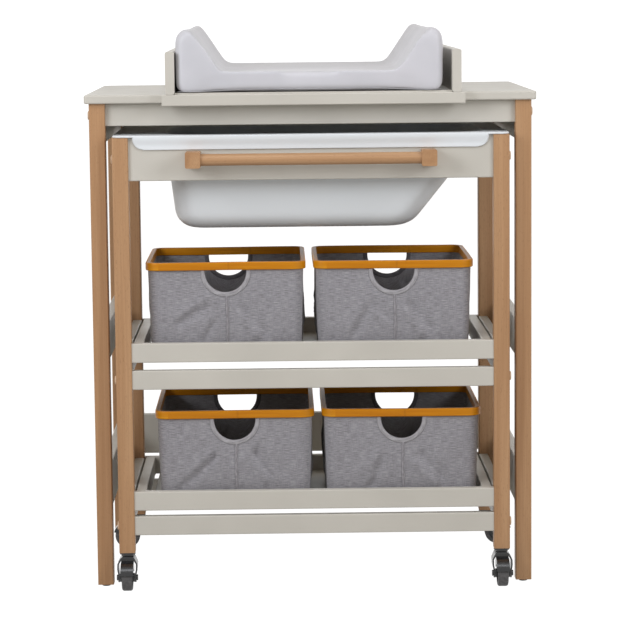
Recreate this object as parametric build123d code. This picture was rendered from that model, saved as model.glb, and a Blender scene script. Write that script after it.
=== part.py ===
from build123d import *
from math import cos, radians, sin
import os

# A changing table with a bathtub on a trolley, in millimetres.
# +Z is up, the front faces -Y and +X is to the right of someone who stands in front of it.
# The model is first laid out about the middle of the table top, and every node is then moved along Y
# so that the origin is on the floor under the middle of the whole object.

os.makedirs("parts", exist_ok=True)

LEFT, RIGHT = -1, 1
FRONT, REAR = -1, 1
SIDES = {"left": LEFT, "right": RIGHT}
ENDS = {"front": FRONT, "rear": REAR}

# Clearances
rest_gap = 0.3            # between a piece and what it rests on, where the two can be parted
running_gap = 0.05        # radial, round an axle or a kingpin
swivel_gap = 0.3          # axial, above and below the crown of a caster fork
bolt_gap = 0.3            # radial, round the shank of a bolt
cut_overrun = 2.0         # how far a cutting tool passes the face that it opens

# Table
table_height = 930.0
top_width = 840.0
top_depth = 560.0
top_thickness = 16.0
top_corner_radius = 6.0
top_edge_radius = 3.0
table_leg_size = 30.0
table_leg_inset_side = 8.5
table_leg_inset_end = 8.0
leg_edge_radius = 2.5
rail_edge_radius = 2.0
glide_diameter = 17.0
glide_height = 4.0
glide_chamfer = 1.2

apron_thickness = 18.0
front_apron_height = 42.0
front_apron_setback = 10.0
rear_apron_height = 74.0
side_apron_height = 74.0
side_rail_thickness = 20.0
side_rail_setback = 2.0
middle_rail_top = 500.0
middle_rail_height = 70.0
low_rail_top = 232.0
low_rail_height = 84.0
rear_rail_top = 247.0
rear_rail_height = 82.0

# Cross bolts, with a round cap that stands on the leg's outer face
bolt_cap_diameter = 17.0
bolt_cap_height = 3.0
bolt_cap_round = 2.2
bolt_diameter = 6.0
bolt_reach = 35.0         # how far the shank runs into the end of the rail
table_bolt_drop = 38.0    # from the top of the table to the bolt

# Changing tray
tray_offset_x = 6.0       # the photographed tray stands a little to the right
tray_base_thickness = 3.0
tray_base_setback = 8.0     # of the panel behind the front face of the lip
tray_wall_thickness = 17.0
tray_wall_height = 79.0
tray_wall_radius = 4.0
tray_depth = 720.0
tray_lip_overhang = 7.0   # of the lip beyond the walls, each end
tray_lip_thickness = 19.0
tray_lip_height = 21.0
tray_hook_gap = 1.0       # between the lip or the cleat and the edge of the table top
tray_cleat_thickness = 18.0

# Changing mat
mat_width = 497.0
mat_front_setback = 4.0   # of the mat behind the front face of the tray lip
mat_rear_setback = 10.0
mat_left_gap = 1.0        # between the mat and the left wall of the tray
mat_side_play = 16.0      # between the mat and both walls together
mat_thickness = 38.0
mat_bolster_height = 110.0
mat_ridge_width = 35.0    # the flat top of a bolster
mat_bolster_width = 81.0
mat_shoulder_radius = 18.0
mat_ridge_radius = 12.0
mat_valley_radius = 14.0
mat_foot_radius = 7.0
mat_crown = 5.0
mat_side_draw = 3.0       # how far the sides pull in at half length
mat_end_round = 9.0       # how far the edges draw in at the ends

# Trolley
trolley_side_gap = 13.0   # between the legs of the trolley and of the table
trolley_depth = 400.0
trolley_lead = 25.0       # of the trolley's front legs ahead of the table's front legs
trolley_leg_size = 30.0
top_rail_height = 80.0
top_rail_thickness = 20.0
top_rail_setback = 6.0
top_side_rail_thickness = 18.0
shelf_side_rail_thickness = 18.0
shelf_side_rail_height = 60.0

shelf_rail_height = 36.0
shelf_rail_thickness = 18.0
shelf_rail_setback = 3.0
shelf_side_thickness = 19.0
shelf_side_clearance = 3.0
brace_height = 36.0
lower_shelf_top = 186.0
upper_brace_gap = 15.0    # between the shelf's rail and the brace under it
lower_brace_gap = 11.0
slat_count = 9
slat_thickness = 6.0
slat_width = 52.0
slat_end_gap = 9.0        # between the outermost slats and the shelf's side rails
slat_seat = 9.0           # how far a slat runs into the rebate of the front and rear rail
slat_edge_radius = 1.5

# Handle
handle_span = 436.0       # between the middles of the blocks
handle_block_width = 28.0
handle_block_height = 30.0
handle_block_depth = 44.0
handle_block_radius = 3.0
handle_drop = 40.0        # from the top of the trolley legs to the middle of the blocks
handle_bar_diameter = 22.0
handle_bar_from_front = 14.0
handle_bar_tenon = 10.0

# Casters
caster_height = 70.0
wheel_diameter = 50.0
tyre_width = 20.0
tyre_radius = 4.0
tyre_depth = 7.5
wheel_web_width = 9.0
wheel_hub_diameter = 17.0
hub_side_gap = 0.5
caster_trail = 22.0
axle_diameter = 6.0
axle_head_diameter = 11.0
axle_head_height = 3.0
fork_width = 34.0          # over the cheeks at the axle
fork_plate = 3.0
fork_belly = 2.0           # how far each cheek bulges out above the axle
fork_belly_low = 40.0
fork_belly_high = 50.0
fork_waist = 31.0          # where the cheeks start to bulge
fork_shoulder = 5.0        # how far the crown's flat top stays inside the width at the axle
fork_bend_radius = 7.0
fork_crown_length = 33.0
fork_boss_diameter = 18.0
hood_width = 24.0
hood_radius = 28.5
hood_wall = 2.2
hood_side_wall = 1.4
hood_side_reach = 11.5     # how far the hood's sides come down over the wheel
hood_low_angle = 16.0      # of its front edge above the axle
hood_high_angle = 150.0
hood_post_near = 10.5      # the post between hood and crown, ahead of the kingpin
hood_post_far = 16.0
mount_cup_diameter = 30.0
mount_cup_height = 4.0
mount_race_diameter = 23.0
mount_race_height = 3.0
kingpin_diameter = 8.0
kingpin_head_diameter = 13.0
kingpin_head_height = 2.0
mount_stem_diameter = 11.0
mount_stem_length = 32.0
caster_turn = {"front_left": 0, "front_right": 0, "rear_left": -90, "rear_right": 90}

# Bathtub
tub_rim_thickness = 4.0
tub_rim_corner = 14.0
tub_wall = 3.0
tub_depth = 180.0
tub_top_gap = 16.7         # between the rim and the table's front apron
tub_foot_gap = 66.5        # between the legs and the left end of the basin at the rim
tub_foot_draft = 22.0
tub_back_gap = 7.5         # between the legs and the right end, at the sloping backrest
tub_back_run = 181.0       # how far the backrest comes in at the floor
tub_rail_gap = 6.0         # between the basin and the top rails
tub_side_draft = 32.0      # how far the front and rear walls come in at the floor
tub_corner_top = 62.0
tub_corner_floor = 48.0
tub_floor_radius = 36.0
tub_mouth_radius = 5.0
tub_lip_drop = 22.0
tub_lip_thickness = 3.0
tub_lip_side_gap = 8.0
tub_lip_corner = 20.0
drain_x = 170.0            # left of the middle
drain_diameter = 34.0

# Drain plug
plug_flange_diameter = 44.0
plug_flange_height = 2.5
plug_knob_diameter = 12.0
plug_knob_height = 12.0
plug_edge_radius = 1.0

# Baskets
basket_rim_height = 19.0
basket_rim_thickness = 9.5
basket_rim_outer = 5.0     # outer part of the rim, up to the groove that holds the fabric
basket_rim_cap = 2.0       # over the groove
basket_rim_corner = 26.0
basket_rim_edge = 2.2
basket_rim_inner_edge = 1.0
basket_groove_play = 0.1   # between the fabric and each side of the groove
basket_height = 179.0
basket_hem_gap = 0.5       # between the fabric and the top of the groove
basket_taper = 5.0         # how much each side comes in from the rim to the floor
basket_wall = 2.5
basket_floor_corner = 18.0
basket_gap = 13.0          # between the rims of two neighbours
basket_side_gap = 8.0      # between the rims and the shelf's side rails
basket_front_gap = 4.0     # between the rim and the shelf's front rail
basket_rear_gap = 44.0
basket_head_gap = 59.0     # between the upper baskets and the bottom of the tub
hand_hole_width = 80.0
hand_hole_depth = 39.0
upper_basket_offset = -4.5
lower_basket_offset = 9.0

# Places that follow from the sizes above
table_front = -top_depth / 2
table_rear = top_depth / 2
table_leg_top = table_height - top_thickness
table_leg_outer_x = top_width / 2 - table_leg_inset_side
table_leg_inner_x = table_leg_outer_x - table_leg_size
table_leg_outer_y = top_depth / 2 - table_leg_inset_end
table_leg_inner_y = table_leg_outer_y - table_leg_size
table_bolt_z = table_height - table_bolt_drop

trolley_front = -table_leg_outer_y - trolley_lead
trolley_rear = trolley_front + trolley_depth
trolley_middle_y = (trolley_front + trolley_rear) / 2
trolley_outer_x = table_leg_inner_x - trolley_side_gap
trolley_inner_x = trolley_outer_x - trolley_leg_size
trolley_half_depth = trolley_depth / 2
swivel_x = trolley_outer_x - trolley_leg_size / 2
swivel_half_pitch = trolley_half_depth - trolley_leg_size / 2

tub_rim_top = table_leg_top - front_apron_height - tub_top_gap
tub_rim_low = tub_rim_top - tub_rim_thickness
tub_floor_z = tub_rim_top - tub_depth
tub_foot_top_x = trolley_inner_x - tub_foot_gap
tub_back_top_x = trolley_inner_x - tub_back_gap
trolley_height = tub_rim_low - rest_gap

basket_above_shelf_top = basket_height + rest_gap + slat_thickness - shelf_rail_height
upper_shelf_top = tub_floor_z - basket_head_gap - basket_above_shelf_top
upper_brace_top = upper_shelf_top - shelf_rail_height - upper_brace_gap
lower_brace_top = lower_shelf_top - shelf_rail_height - lower_brace_gap
shelf_side_x = trolley_inner_x - shelf_side_clearance - shelf_side_thickness
shelf_inner_depth = trolley_depth - 2 * (shelf_rail_setback + shelf_rail_thickness)
basket_rim_width = shelf_side_x - basket_side_gap - basket_gap / 2
basket_rim_depth = shelf_inner_depth - basket_front_gap - basket_rear_gap

tray_width = mat_width + mat_side_play + 2 * tray_wall_thickness
tray_front = table_front - tray_hook_gap - tray_lip_thickness
tray_rear = tray_front + tray_depth
tray_base_z = table_height + rest_gap
tray_floor_z = tray_base_z + tray_base_thickness
mat_depth = tray_depth - mat_front_setback - mat_rear_setback
mat_left_x = tray_offset_x - tray_width / 2 + tray_wall_thickness + mat_left_gap
mat_middle_x = mat_left_x + mat_width / 2

handle_front = trolley_front + top_rail_setback - handle_block_depth
handle_z = trolley_height - handle_drop
model_middle_y = (handle_front + tray_rear) / 2


def rounded_bar(low, high, radius):
    """Straight bar between two opposite corners, with its four long edges rounded."""
    size = [high[i] - low[i] for i in range(3)]
    middle = [(low[i] + high[i]) / 2 for i in range(3)]
    run = size.index(max(size))
    start = list(middle)
    start[run] = low[run]
    across = {0: (0, 1, 0), 1: (0, 0, 1), 2: (1, 0, 0)}[run]
    along = {0: (1, 0, 0), 1: (0, 1, 0), 2: (0, 0, 1)}[run]
    width, height = size[(run + 1) % 3], size[(run + 2) % 3]
    plane = Plane(origin=tuple(start), x_dir=across, z_dir=along)
    return extrude(plane * RectangleRounded(width, height, radius), amount=size[run])


def cross_rail(half_length, y_low, y_high, z_low, z_high):
    """Painted rail along X, centred on the middle of the object."""
    return rounded_bar((-half_length, y_low, z_low), (half_length, y_high, z_high), rail_edge_radius)


def side_rail(side, x_near, thickness, y_low, y_high, z_low, z_high):
    """Painted rail along Y on one side, from x_near outwards."""
    x_far = x_near + thickness
    x_low, x_high = sorted((side * x_near, side * x_far))
    return rounded_bar((x_low, y_low, z_low), (x_high, y_high, z_high), rail_edge_radius)


def round_bar(start, direction, diameter, length):
    """Plain cylinder from a start point along one direction."""
    return extrude(Plane(origin=start, z_dir=direction) * Circle(diameter / 2), amount=length)


def cross_bolt(side, leg_outer_x, leg_size, y, z):
    """Bolt along X through a leg into the end of a rail, with its round cap outside."""
    inwards = (-side, 0, 0)
    face = (side * leg_outer_x, y, z)
    cap_plane = Plane(origin=face, z_dir=(side, 0, 0))
    cap = extrude(cap_plane * Circle(bolt_cap_diameter / 2), amount=bolt_cap_height)
    outer_edge = cap.edges().sort_by(Axis.X)[-1 if side == RIGHT else 0]
    cap = fillet(outer_edge, bolt_cap_round)
    return cap + round_bar(face, inwards, bolt_diameter, leg_size + bolt_reach)


def bolt_hole(side, leg_outer_x, leg_size, y, z):
    """Cutting tool for the hole of a cross bolt, in the leg and in the end of the rail."""
    start = (side * (leg_outer_x + cut_overrun), y, z)
    length = cut_overrun + leg_size + bolt_reach + cut_overrun
    return round_bar(start, (-side, 0, 0), bolt_diameter + 2 * bolt_gap, length)


# Table

def make_table_top():
    """The painted top: a board with rounded corners and softened edges."""
    outline = RectangleRounded(top_width, top_depth, top_corner_radius)
    board = extrude(Pos(0, 0, table_leg_top) * outline, amount=top_thickness)
    faces = board.faces().sort_by(Axis.Z)
    return fillet(faces[0].edges() + faces[-1].edges(), top_edge_radius)


def table_bolt_places():
    """The bolts join the legs to the middle of the front and rear apron."""
    front_y = -table_leg_outer_y + front_apron_setback + apron_thickness / 2
    return {FRONT: front_y, REAR: -front_y}


def make_table_leg(side, end):
    """Square leg with rounded edges and one cross hole for its bolt."""
    x_low, x_high = sorted((side * table_leg_inner_x, side * table_leg_outer_x))
    y_low, y_high = sorted((end * table_leg_inner_y, end * table_leg_outer_y))
    leg = rounded_bar((x_low, y_low, glide_height), (x_high, y_high, table_leg_top), leg_edge_radius)
    y = table_bolt_places()[end]
    return leg - bolt_hole(side, table_leg_outer_x, table_leg_size, y, table_bolt_z)


def make_table_apron(end):
    """Apron between the front or the rear legs, right under the top."""
    height = front_apron_height if end == FRONT else rear_apron_height
    outer_y = table_leg_outer_y - front_apron_setback
    y_low, y_high = sorted((end * outer_y, end * (outer_y - apron_thickness)))
    apron = cross_rail(table_leg_inner_x, y_low, y_high, table_leg_top - height, table_leg_top)
    for side in SIDES.values():
        y = table_bolt_places()[end]
        apron -= bolt_hole(side, table_leg_outer_x, table_leg_size, y, table_bolt_z)
    return apron


def make_table_side_member(side, thickness, z_top, height):
    """Apron or rail between the front and the rear leg of one side."""
    near = table_leg_inner_x + side_rail_setback
    return side_rail(side, near, thickness, -table_leg_inner_y, table_leg_inner_y, z_top - height, z_top)


def make_table_rear_rail():
    """Low stretcher between the two rear legs."""
    middle = table_leg_outer_y - table_leg_size / 2
    half = side_rail_thickness / 2
    return cross_rail(table_leg_inner_x, middle - half, middle + half,
                      rear_rail_top - rear_rail_height, rear_rail_top)


def make_table_bolts():
    """Four cross bolts, one through the top of each leg."""
    places = table_bolt_places()
    return [cross_bolt(side, table_leg_outer_x, table_leg_size, places[end], table_bolt_z)
            for side in SIDES.values() for end in ENDS.values()]


def make_table_glides():
    """Round glides under the table legs."""
    glides = []
    for side in SIDES.values():
        for end in ENDS.values():
            x = side * (table_leg_outer_x - table_leg_size / 2)
            y = end * (table_leg_outer_y - table_leg_size / 2)
            glide = round_bar((x, y, 0), (0, 0, 1), glide_diameter, glide_height)
            glides.append(chamfer(glide.edges().sort_by(Axis.Z)[0], glide_chamfer))
    return glides


# Changing tray and mat

def make_tray_base():
    """Thin panel between the walls: it lies on the table top and reaches back beyond it."""
    low_y = tray_front + tray_base_setback
    panel = Rectangle(tray_width - 2 * tray_wall_thickness, tray_rear - low_y)
    place = Pos(tray_offset_x, (low_y + tray_rear) / 2, tray_base_z)
    return extrude(place * panel, amount=tray_base_thickness)


def make_tray_wall(side):
    """Side wall of the tray: it stands on the table top and on the end of the lip."""
    outer = tray_width / 2
    inner = outer - tray_wall_thickness
    x_low, x_high = sorted((tray_offset_x + side * inner, tray_offset_x + side * outer))
    return rounded_bar((x_low, tray_front, tray_base_z),
                       (x_high, tray_rear, tray_base_z + tray_wall_height), tray_wall_radius)


def make_tray_lip():
    """Front strip that hooks over the front edge of the table top."""
    half = tray_width / 2 + tray_lip_overhang
    return rounded_bar((tray_offset_x - half, tray_front, tray_base_z - tray_lip_height),
                       (tray_offset_x + half, tray_front + tray_lip_thickness, tray_base_z),
                       rail_edge_radius)


def make_tray_cleat():
    """Strip under the panel and the walls, behind the rear edge of the table top."""
    half = tray_width / 2
    y_low = table_rear + tray_hook_gap
    return rounded_bar((tray_offset_x - half, y_low, tray_base_z - tray_lip_height),
                       (tray_offset_x + half, y_low + tray_cleat_thickness, tray_base_z),
                       rail_edge_radius)


def mat_section(y, side_draw, end_draw, crown):
    """Cross-section of the mat: flat sole, two bolsters with a sloping inner side, crowned middle."""
    half = mat_width / 2 - side_draw - end_draw
    sole = end_draw / 2
    top = mat_bolster_height - end_draw
    middle = mat_thickness - crown - end_draw / 2
    ridge = half - mat_ridge_width
    valley = mat_width / 2 - mat_bolster_width
    outline = [
        Line((-half, sole), (-half, top)),
        Line((-half, top), (-ridge, top)),
        Line((-ridge, top), (-valley, middle)),
        ThreePointArc((-valley, middle), (0, middle + crown), (valley, middle)),
        Line((valley, middle), (ridge, top)),
        Line((ridge, top), (half, top)),
        Line((half, top), (half, sole)),
        Line((half, sole), (-half, sole)),
    ]
    face = make_face(outline)
    for height, reach, radius in ((sole, half, mat_foot_radius), (top, half, mat_shoulder_radius),
                                  (top, ridge, mat_ridge_radius), (middle, valley, mat_valley_radius)):
        for x in (-reach, reach):
            corner = face.vertices().sort_by_distance((x, height, 0))[0]
            face = fillet(corner, radius)
    plane = Plane(origin=(mat_middle_x, y, tray_floor_z + rest_gap), x_dir=(1, 0, 0), z_dir=(0, -1, 0))
    return plane * face


def make_mat():
    """The mat is a loft through cross-sections that draw in at both ends and at half length."""
    end_shares = [1.0, 0.45, 0.12, 0.0]
    step_shares = [0.0, 0.25, 0.65, 1.0]
    steps = [(mat_end_round * step, share, 0) for step, share in zip(step_shares, end_shares)]
    body_shares = [0.25, 0.5, 0.75]
    places = [(along, mat_end_round * share, bow) for along, share, bow in steps]
    for share in body_shares:
        places.append((mat_depth * share, 0, 1 - abs(2 * share - 1)))
    places += [(mat_depth - along, mat_end_round * share, bow) for along, share, bow in reversed(steps)]
    start = tray_front + mat_front_setback
    sections = [mat_section(start + along, mat_side_draw * bow, draw, mat_crown * (1 + bow) / 2)
                for along, draw, bow in places]
    return loft(sections, ruled=True)


# Trolley

def trolley_y(end, inset):
    """Place along Y at a distance inside the front or rear face of the trolley."""
    return trolley_middle_y + end * (trolley_half_depth - inset)


def trolley_bolt_places(end):
    """Y and Z of the cross bolts of one trolley leg: top rail, upper brace, lower brace."""
    top_y = trolley_y(end, top_rail_setback + top_rail_thickness / 2)
    brace_y = trolley_y(end, shelf_rail_setback + shelf_rail_thickness / 2)
    return [(top_y, trolley_height - top_rail_height / 2),
            (brace_y, upper_brace_top - brace_height / 2),
            (brace_y, lower_brace_top - brace_height / 2)]


def trolley_bolt_holes(end):
    """Cutting tools for all cross bolts at the front or the rear of the trolley."""
    return [bolt_hole(side, trolley_outer_x, trolley_leg_size, y, z)
            for side in SIDES.values() for y, z in trolley_bolt_places(end)]


def make_trolley_leg(side, end):
    """Square leg with cross holes for its bolts and a blind hole for the stem of its caster."""
    x_low, x_high = sorted((side * trolley_inner_x, side * trolley_outer_x))
    y_low, y_high = sorted((trolley_y(end, 0), trolley_y(end, trolley_leg_size)))
    leg = rounded_bar((x_low, y_low, caster_height), (x_high, y_high, trolley_height), leg_edge_radius)
    for y, z in trolley_bolt_places(end):
        leg -= bolt_hole(side, trolley_outer_x, trolley_leg_size, y, z)
    stem = (side * swivel_x, trolley_y(end, trolley_leg_size / 2), caster_height - cut_overrun)
    depth = mount_stem_length + 2 * cut_overrun
    return leg - round_bar(stem, (0, 0, 1), mount_stem_diameter + 2 * bolt_gap, depth)


def make_trolley_cross_rail(end, setback, thickness, z_top, height):
    """Rail between the two front or the two rear legs of the trolley, bored for its bolts."""
    y_low, y_high = sorted((trolley_y(end, setback), trolley_y(end, setback + thickness)))
    rail = cross_rail(trolley_inner_x, y_low, y_high, z_top - height, z_top)
    for hole in trolley_bolt_holes(end):
        rail -= hole
    return rail


def make_trolley_braces(z_top):
    """Front and rear brace under one shelf."""
    return [make_trolley_cross_rail(end, shelf_rail_setback, shelf_rail_thickness, z_top, brace_height)
            for end in ENDS.values()]


def make_trolley_side_rails(thickness, z_top, height):
    """Left and right rail between the front and rear legs, flush with the legs' inner faces."""
    y_low = trolley_y(FRONT, trolley_leg_size)
    y_high = trolley_y(REAR, trolley_leg_size)
    return [side_rail(side, trolley_inner_x, thickness, y_low, y_high, z_top - height, z_top)
            for side in SIDES.values()]


def make_trolley_bolts():
    """All cross bolts of the trolley legs."""
    return [cross_bolt(side, trolley_outer_x, trolley_leg_size, y, z)
            for side in SIDES.values() for end in ENDS.values() for y, z in trolley_bolt_places(end)]


def make_shelf_frame(z_top):
    """Front and rear rail with a rebate for the slats, and two side rails between them."""
    z_low = z_top - shelf_rail_height
    rails = []
    for end in ENDS.values():
        y_near, y_far = trolley_y(end, shelf_rail_setback), trolley_y(end, shelf_rail_setback
                                                                      + shelf_rail_thickness)
        y_low, y_high = sorted((y_near, y_far))
        rail = cross_rail(trolley_inner_x, y_low, y_high, z_low, z_top)
        rebate_y = y_far + end * slat_seat / 2
        rebate = Pos(0, rebate_y, z_low) * Box(2 * shelf_side_x, slat_seat, 2 * slat_thickness)
        rails.append(rail - rebate)
    y_low = trolley_y(FRONT, shelf_rail_setback + shelf_rail_thickness)
    y_high = trolley_y(REAR, shelf_rail_setback + shelf_rail_thickness)
    for side in SIDES.values():
        rails.append(side_rail(side, shelf_side_x, shelf_side_thickness, y_low, y_high, z_low, z_top))
    return rails


def make_shelf_slats(z_top):
    """Floor slats that run front to back in the rebates, flush with the underside of the rails."""
    z_low = z_top - shelf_rail_height
    reach = shelf_side_x - slat_end_gap - slat_width / 2
    pitch = 2 * reach / (slat_count - 1)
    inset = shelf_rail_setback + shelf_rail_thickness - slat_seat
    y_low, y_high = trolley_y(FRONT, inset), trolley_y(REAR, inset)
    slats = []
    for index in range(slat_count):
        x = -reach + index * pitch
        slats.append(rounded_bar((x - slat_width / 2, y_low, z_low),
                                 (x + slat_width / 2, y_high, z_low + slat_thickness),
                                 slat_edge_radius))
    return slats


def make_handle_blocks():
    """Square blocks on the front top rail, bored for the ends of the bar."""
    rail_front = trolley_front + top_rail_setback
    blocks = []
    for side in SIDES.values():
        x = side * handle_span / 2
        half_x, half_z = handle_block_width / 2, handle_block_height / 2
        block = rounded_bar((x - half_x, handle_front, handle_z - half_z),
                            (x + half_x, rail_front, handle_z + half_z), handle_block_radius)
        start_x = side * (handle_span / 2 - half_x + handle_bar_tenon)
        start = (start_x, handle_front + handle_bar_from_front, handle_z)
        hole = round_bar(start, (-side, 0, 0), handle_bar_diameter, handle_bar_tenon + cut_overrun)
        blocks.append(block - hole)
    return blocks


def make_handle_bar():
    """Round bar whose ends sit in the two blocks."""
    half = handle_span / 2 - handle_block_width / 2 + handle_bar_tenon
    start = (-half, handle_front + handle_bar_from_front, handle_z)
    return round_bar(start, (1, 0, 0), handle_bar_diameter, 2 * half)


# Casters, built about the swivel axis with the wheel trailing towards -Y

mount_race_low = caster_height - mount_cup_height - mount_race_height
fork_crown_top = mount_race_low - swivel_gap
fork_crown_low = fork_crown_top - fork_plate
kingpin_head_top = fork_crown_low - swivel_gap
axle_z = wheel_diameter / 2


def caster_place(corner):
    """Where a caster stands and how far it is turned about its kingpin."""
    end_name, side_name = corner.split("_")
    x = SIDES[side_name] * swivel_x
    y = trolley_middle_y + ENDS[end_name] * swivel_half_pitch
    return Pos(x, y, 0) * Rot(0, 0, caster_turn[corner])


def make_caster_mount():
    """Cup and race under the leg, stem up into it, and kingpin with a head below the fork crown."""
    stem = round_bar((0, 0, caster_height), (0, 0, 1), mount_stem_diameter, mount_stem_length)
    cup = round_bar((0, 0, caster_height - mount_cup_height), (0, 0, 1),
                    mount_cup_diameter, mount_cup_height)
    race = round_bar((0, 0, mount_race_low), (0, 0, 1), mount_race_diameter, mount_race_height)
    pin = round_bar((0, 0, kingpin_head_top), (0, 0, 1), kingpin_diameter,
                    mount_race_low - kingpin_head_top)
    head = round_bar((0, 0, kingpin_head_top - kingpin_head_height), (0, 0, 1),
                     kingpin_head_diameter, kingpin_head_height)
    return stem + cup + race + pin + head


def fork_arch(inset, top, low):
    """Front view of the fork: two cheeks that bulge out above the axle and bend over into the crown."""
    waist = fork_width / 2 - inset
    belly = waist + fork_belly
    shoulder = waist - fork_shoulder
    right = [(waist, low), (waist, fork_waist), (belly, fork_belly_low), (belly, fork_belly_high),
             (shoulder, top)]
    left = [(-x, z) for x, z in reversed(right)]
    face = make_face(Polyline(*right, *left, close=True))
    for x, z in right[1:] + left[:-1]:
        corner = face.vertices().sort_by_distance((x, z, 0))[0]
        face = fillet(corner, fork_bend_radius - inset)
    return Plane(origin=(0, 0, 0), x_dir=(1, 0, 0), z_dir=(0, -1, 0)) * face


def make_wheel_hood():
    """Cover over the upper part of the wheel, open below, with a post up to the crown."""
    plane = Plane(origin=(-hood_width / 2, -caster_trail, axle_z), x_dir=(0, -1, 0), z_dir=(1, 0, 0))
    low, high = radians(hood_low_angle), radians(hood_high_angle)
    middle = (low + high) / 2

    def sector(radius):
        """Slice of a disc about the axle, from the hood's front edge over its top to its rear edge."""
        start, over, end = [(radius * cos(angle), -radius * sin(angle)) for angle in (low, middle, high)]
        return make_face([Line((0, 0), start), ThreePointArc(start, over, end), Line(end, (0, 0))])

    shell = extrude(plane * sector(hood_radius), amount=hood_width)
    shell -= extrude(plane * Circle(hood_radius - hood_side_reach), amount=hood_width)
    inside = Plane(origin=(-hood_width / 2 + hood_side_wall, -caster_trail, axle_z), z_dir=(1, 0, 0))
    shell -= extrude(inside * Circle(hood_radius - hood_wall), amount=hood_width - 2 * hood_side_wall)
    post_low = axle_z + hood_radius - hood_wall
    post_depth, post_height = hood_post_far - hood_post_near, fork_crown_low - post_low + fork_plate / 2
    post = Pos(0, -(hood_post_near + hood_post_far) / 2, post_low + post_height / 2) * (
        Box(hood_width, post_depth, post_height))
    return shell + post


def make_caster_fork():
    """Pressed fork: a crown on the kingpin, two cheeks that taper to the axle, and the hood between them."""
    crown = Pos(0, fork_crown_top - fork_plate / 2) * Rectangle(fork_crown_length, fork_plate)
    boss = Pos(-caster_trail, axle_z) * Circle(fork_boss_diameter / 2)
    side_view = make_hull(crown.edges() + boss.edges())
    plane = Plane(origin=(-fork_width, 0, 0), x_dir=(0, 1, 0), z_dir=(1, 0, 0))
    low = axle_z - fork_boss_diameter
    outside, inside = fork_arch(0, fork_crown_top, low), fork_arch(fork_plate, fork_crown_low, low)
    depth = caster_trail + fork_crown_length + fork_boss_diameter
    arch = extrude(outside - inside, amount=depth, both=True)
    body = extrude(plane * side_view, amount=2 * fork_width) & arch
    body += make_wheel_hood()
    pin_hole = round_bar((0, 0, fork_crown_low - cut_overrun), (0, 0, 1),
                         kingpin_diameter + 2 * running_gap, fork_plate + 2 * cut_overrun)
    axle_hole = round_bar((-fork_width, -caster_trail, axle_z), (1, 0, 0), axle_diameter, 2 * fork_width)
    return body - pin_hole - axle_hole


def make_caster_axle():
    """Axle bolt through both cheeks, with a head and a nut outside."""
    half = fork_width / 2
    bolt = round_bar((-half, -caster_trail, axle_z), (1, 0, 0), axle_diameter, fork_width)
    for side in SIDES.values():
        bolt += round_bar((side * half, -caster_trail, axle_z), (side, 0, 0),
                          axle_head_diameter, axle_head_height)
    return bolt


def make_caster_wheel():
    """Wheel centre with hub and web, and a rubber tyre round it, both turned about the axle."""
    bore = axle_diameter / 2 + running_gap
    hub = wheel_hub_diameter / 2
    seat = wheel_diameter / 2 - tyre_depth
    hub_half = fork_width / 2 - fork_plate - hub_side_gap
    web_half = wheel_web_width / 2
    tyre_half = tyre_width / 2
    centre = make_face(Polyline((-hub_half, bore), (hub_half, bore), (hub_half, hub), (web_half, hub),
                                (web_half, seat), (-web_half, seat), (-web_half, hub),
                                (-hub_half, hub), close=True))
    tyre = Pos(0, seat + tyre_depth / 2) * Rectangle(tyre_width, tyre_depth)
    outer = tyre.vertices().group_by(Axis.Y)[-1]
    tyre = fillet(outer, tyre_radius)
    place = Pos(0, -caster_trail, axle_z)
    return [place * revolve(centre, Axis.X), place * revolve(tyre, Axis.X)]


# Bathtub

tub_front_top = trolley_y(FRONT, top_rail_setback + top_rail_thickness + tub_rail_gap)
tub_rear_top = trolley_y(REAR, top_rail_setback + top_rail_thickness + tub_rail_gap)


def tub_section(z, inset):
    """Level section of the basin: all four walls slope in a straight line from rim to floor."""
    share = (z - tub_floor_z) / (tub_rim_top - tub_floor_z)
    back_inset = inset * (1 + (tub_back_run / tub_depth) ** 2) ** 0.5
    left = -tub_foot_top_x + (1 - share) * tub_foot_draft + inset
    right = tub_back_top_x - (1 - share) * tub_back_run - back_inset
    draft = (1 - share) * tub_side_draft
    low_y, high_y = tub_front_top + draft + inset, tub_rear_top - draft - inset
    corner = tub_corner_floor + share * (tub_corner_top - tub_corner_floor) - inset
    outline = RectangleRounded(right - left, high_y - low_y, corner)
    return Pos((left + right) / 2, (low_y + high_y) / 2, z) * outline


def tub_basin(z_low, z_high, inset):
    """Basin volume between two levels with a round edge along its floor."""
    body = loft([tub_section(z_low, inset), tub_section(z_high, inset)], ruled=True)
    floor_edges = body.faces().sort_by(Axis.Z)[0].edges()
    return fillet(floor_edges, tub_floor_radius - inset)


def tub_rim():
    """Flat rim that covers the top of the trolley frame."""
    outline = RectangleRounded(2 * trolley_outer_x, trolley_depth, tub_rim_corner)
    return extrude(Pos(0, trolley_middle_y, tub_rim_low) * outline, amount=tub_rim_thickness)


def tub_lip(end):
    """Lip that hangs from the rim over the outer face of a top rail, its lower corners rounded."""
    half = trolley_inner_x - tub_lip_side_gap
    outer = trolley_y(end, top_rail_setback - rest_gap - tub_lip_thickness)
    low, high = tub_rim_low - tub_lip_drop, tub_rim_low + tub_rim_thickness / 2
    plane = Plane(origin=(0, outer, (low + high) / 2), x_dir=(1, 0, 0), z_dir=(0, -end, 0))
    plate = Rectangle(2 * half, high - low)
    lower = plate.vertices().group_by(Axis.Y)[0 if plane.y_dir.Z > 0 else -1]
    return extrude(plane * fillet(lower, tub_lip_corner), amount=tub_lip_thickness)


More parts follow.
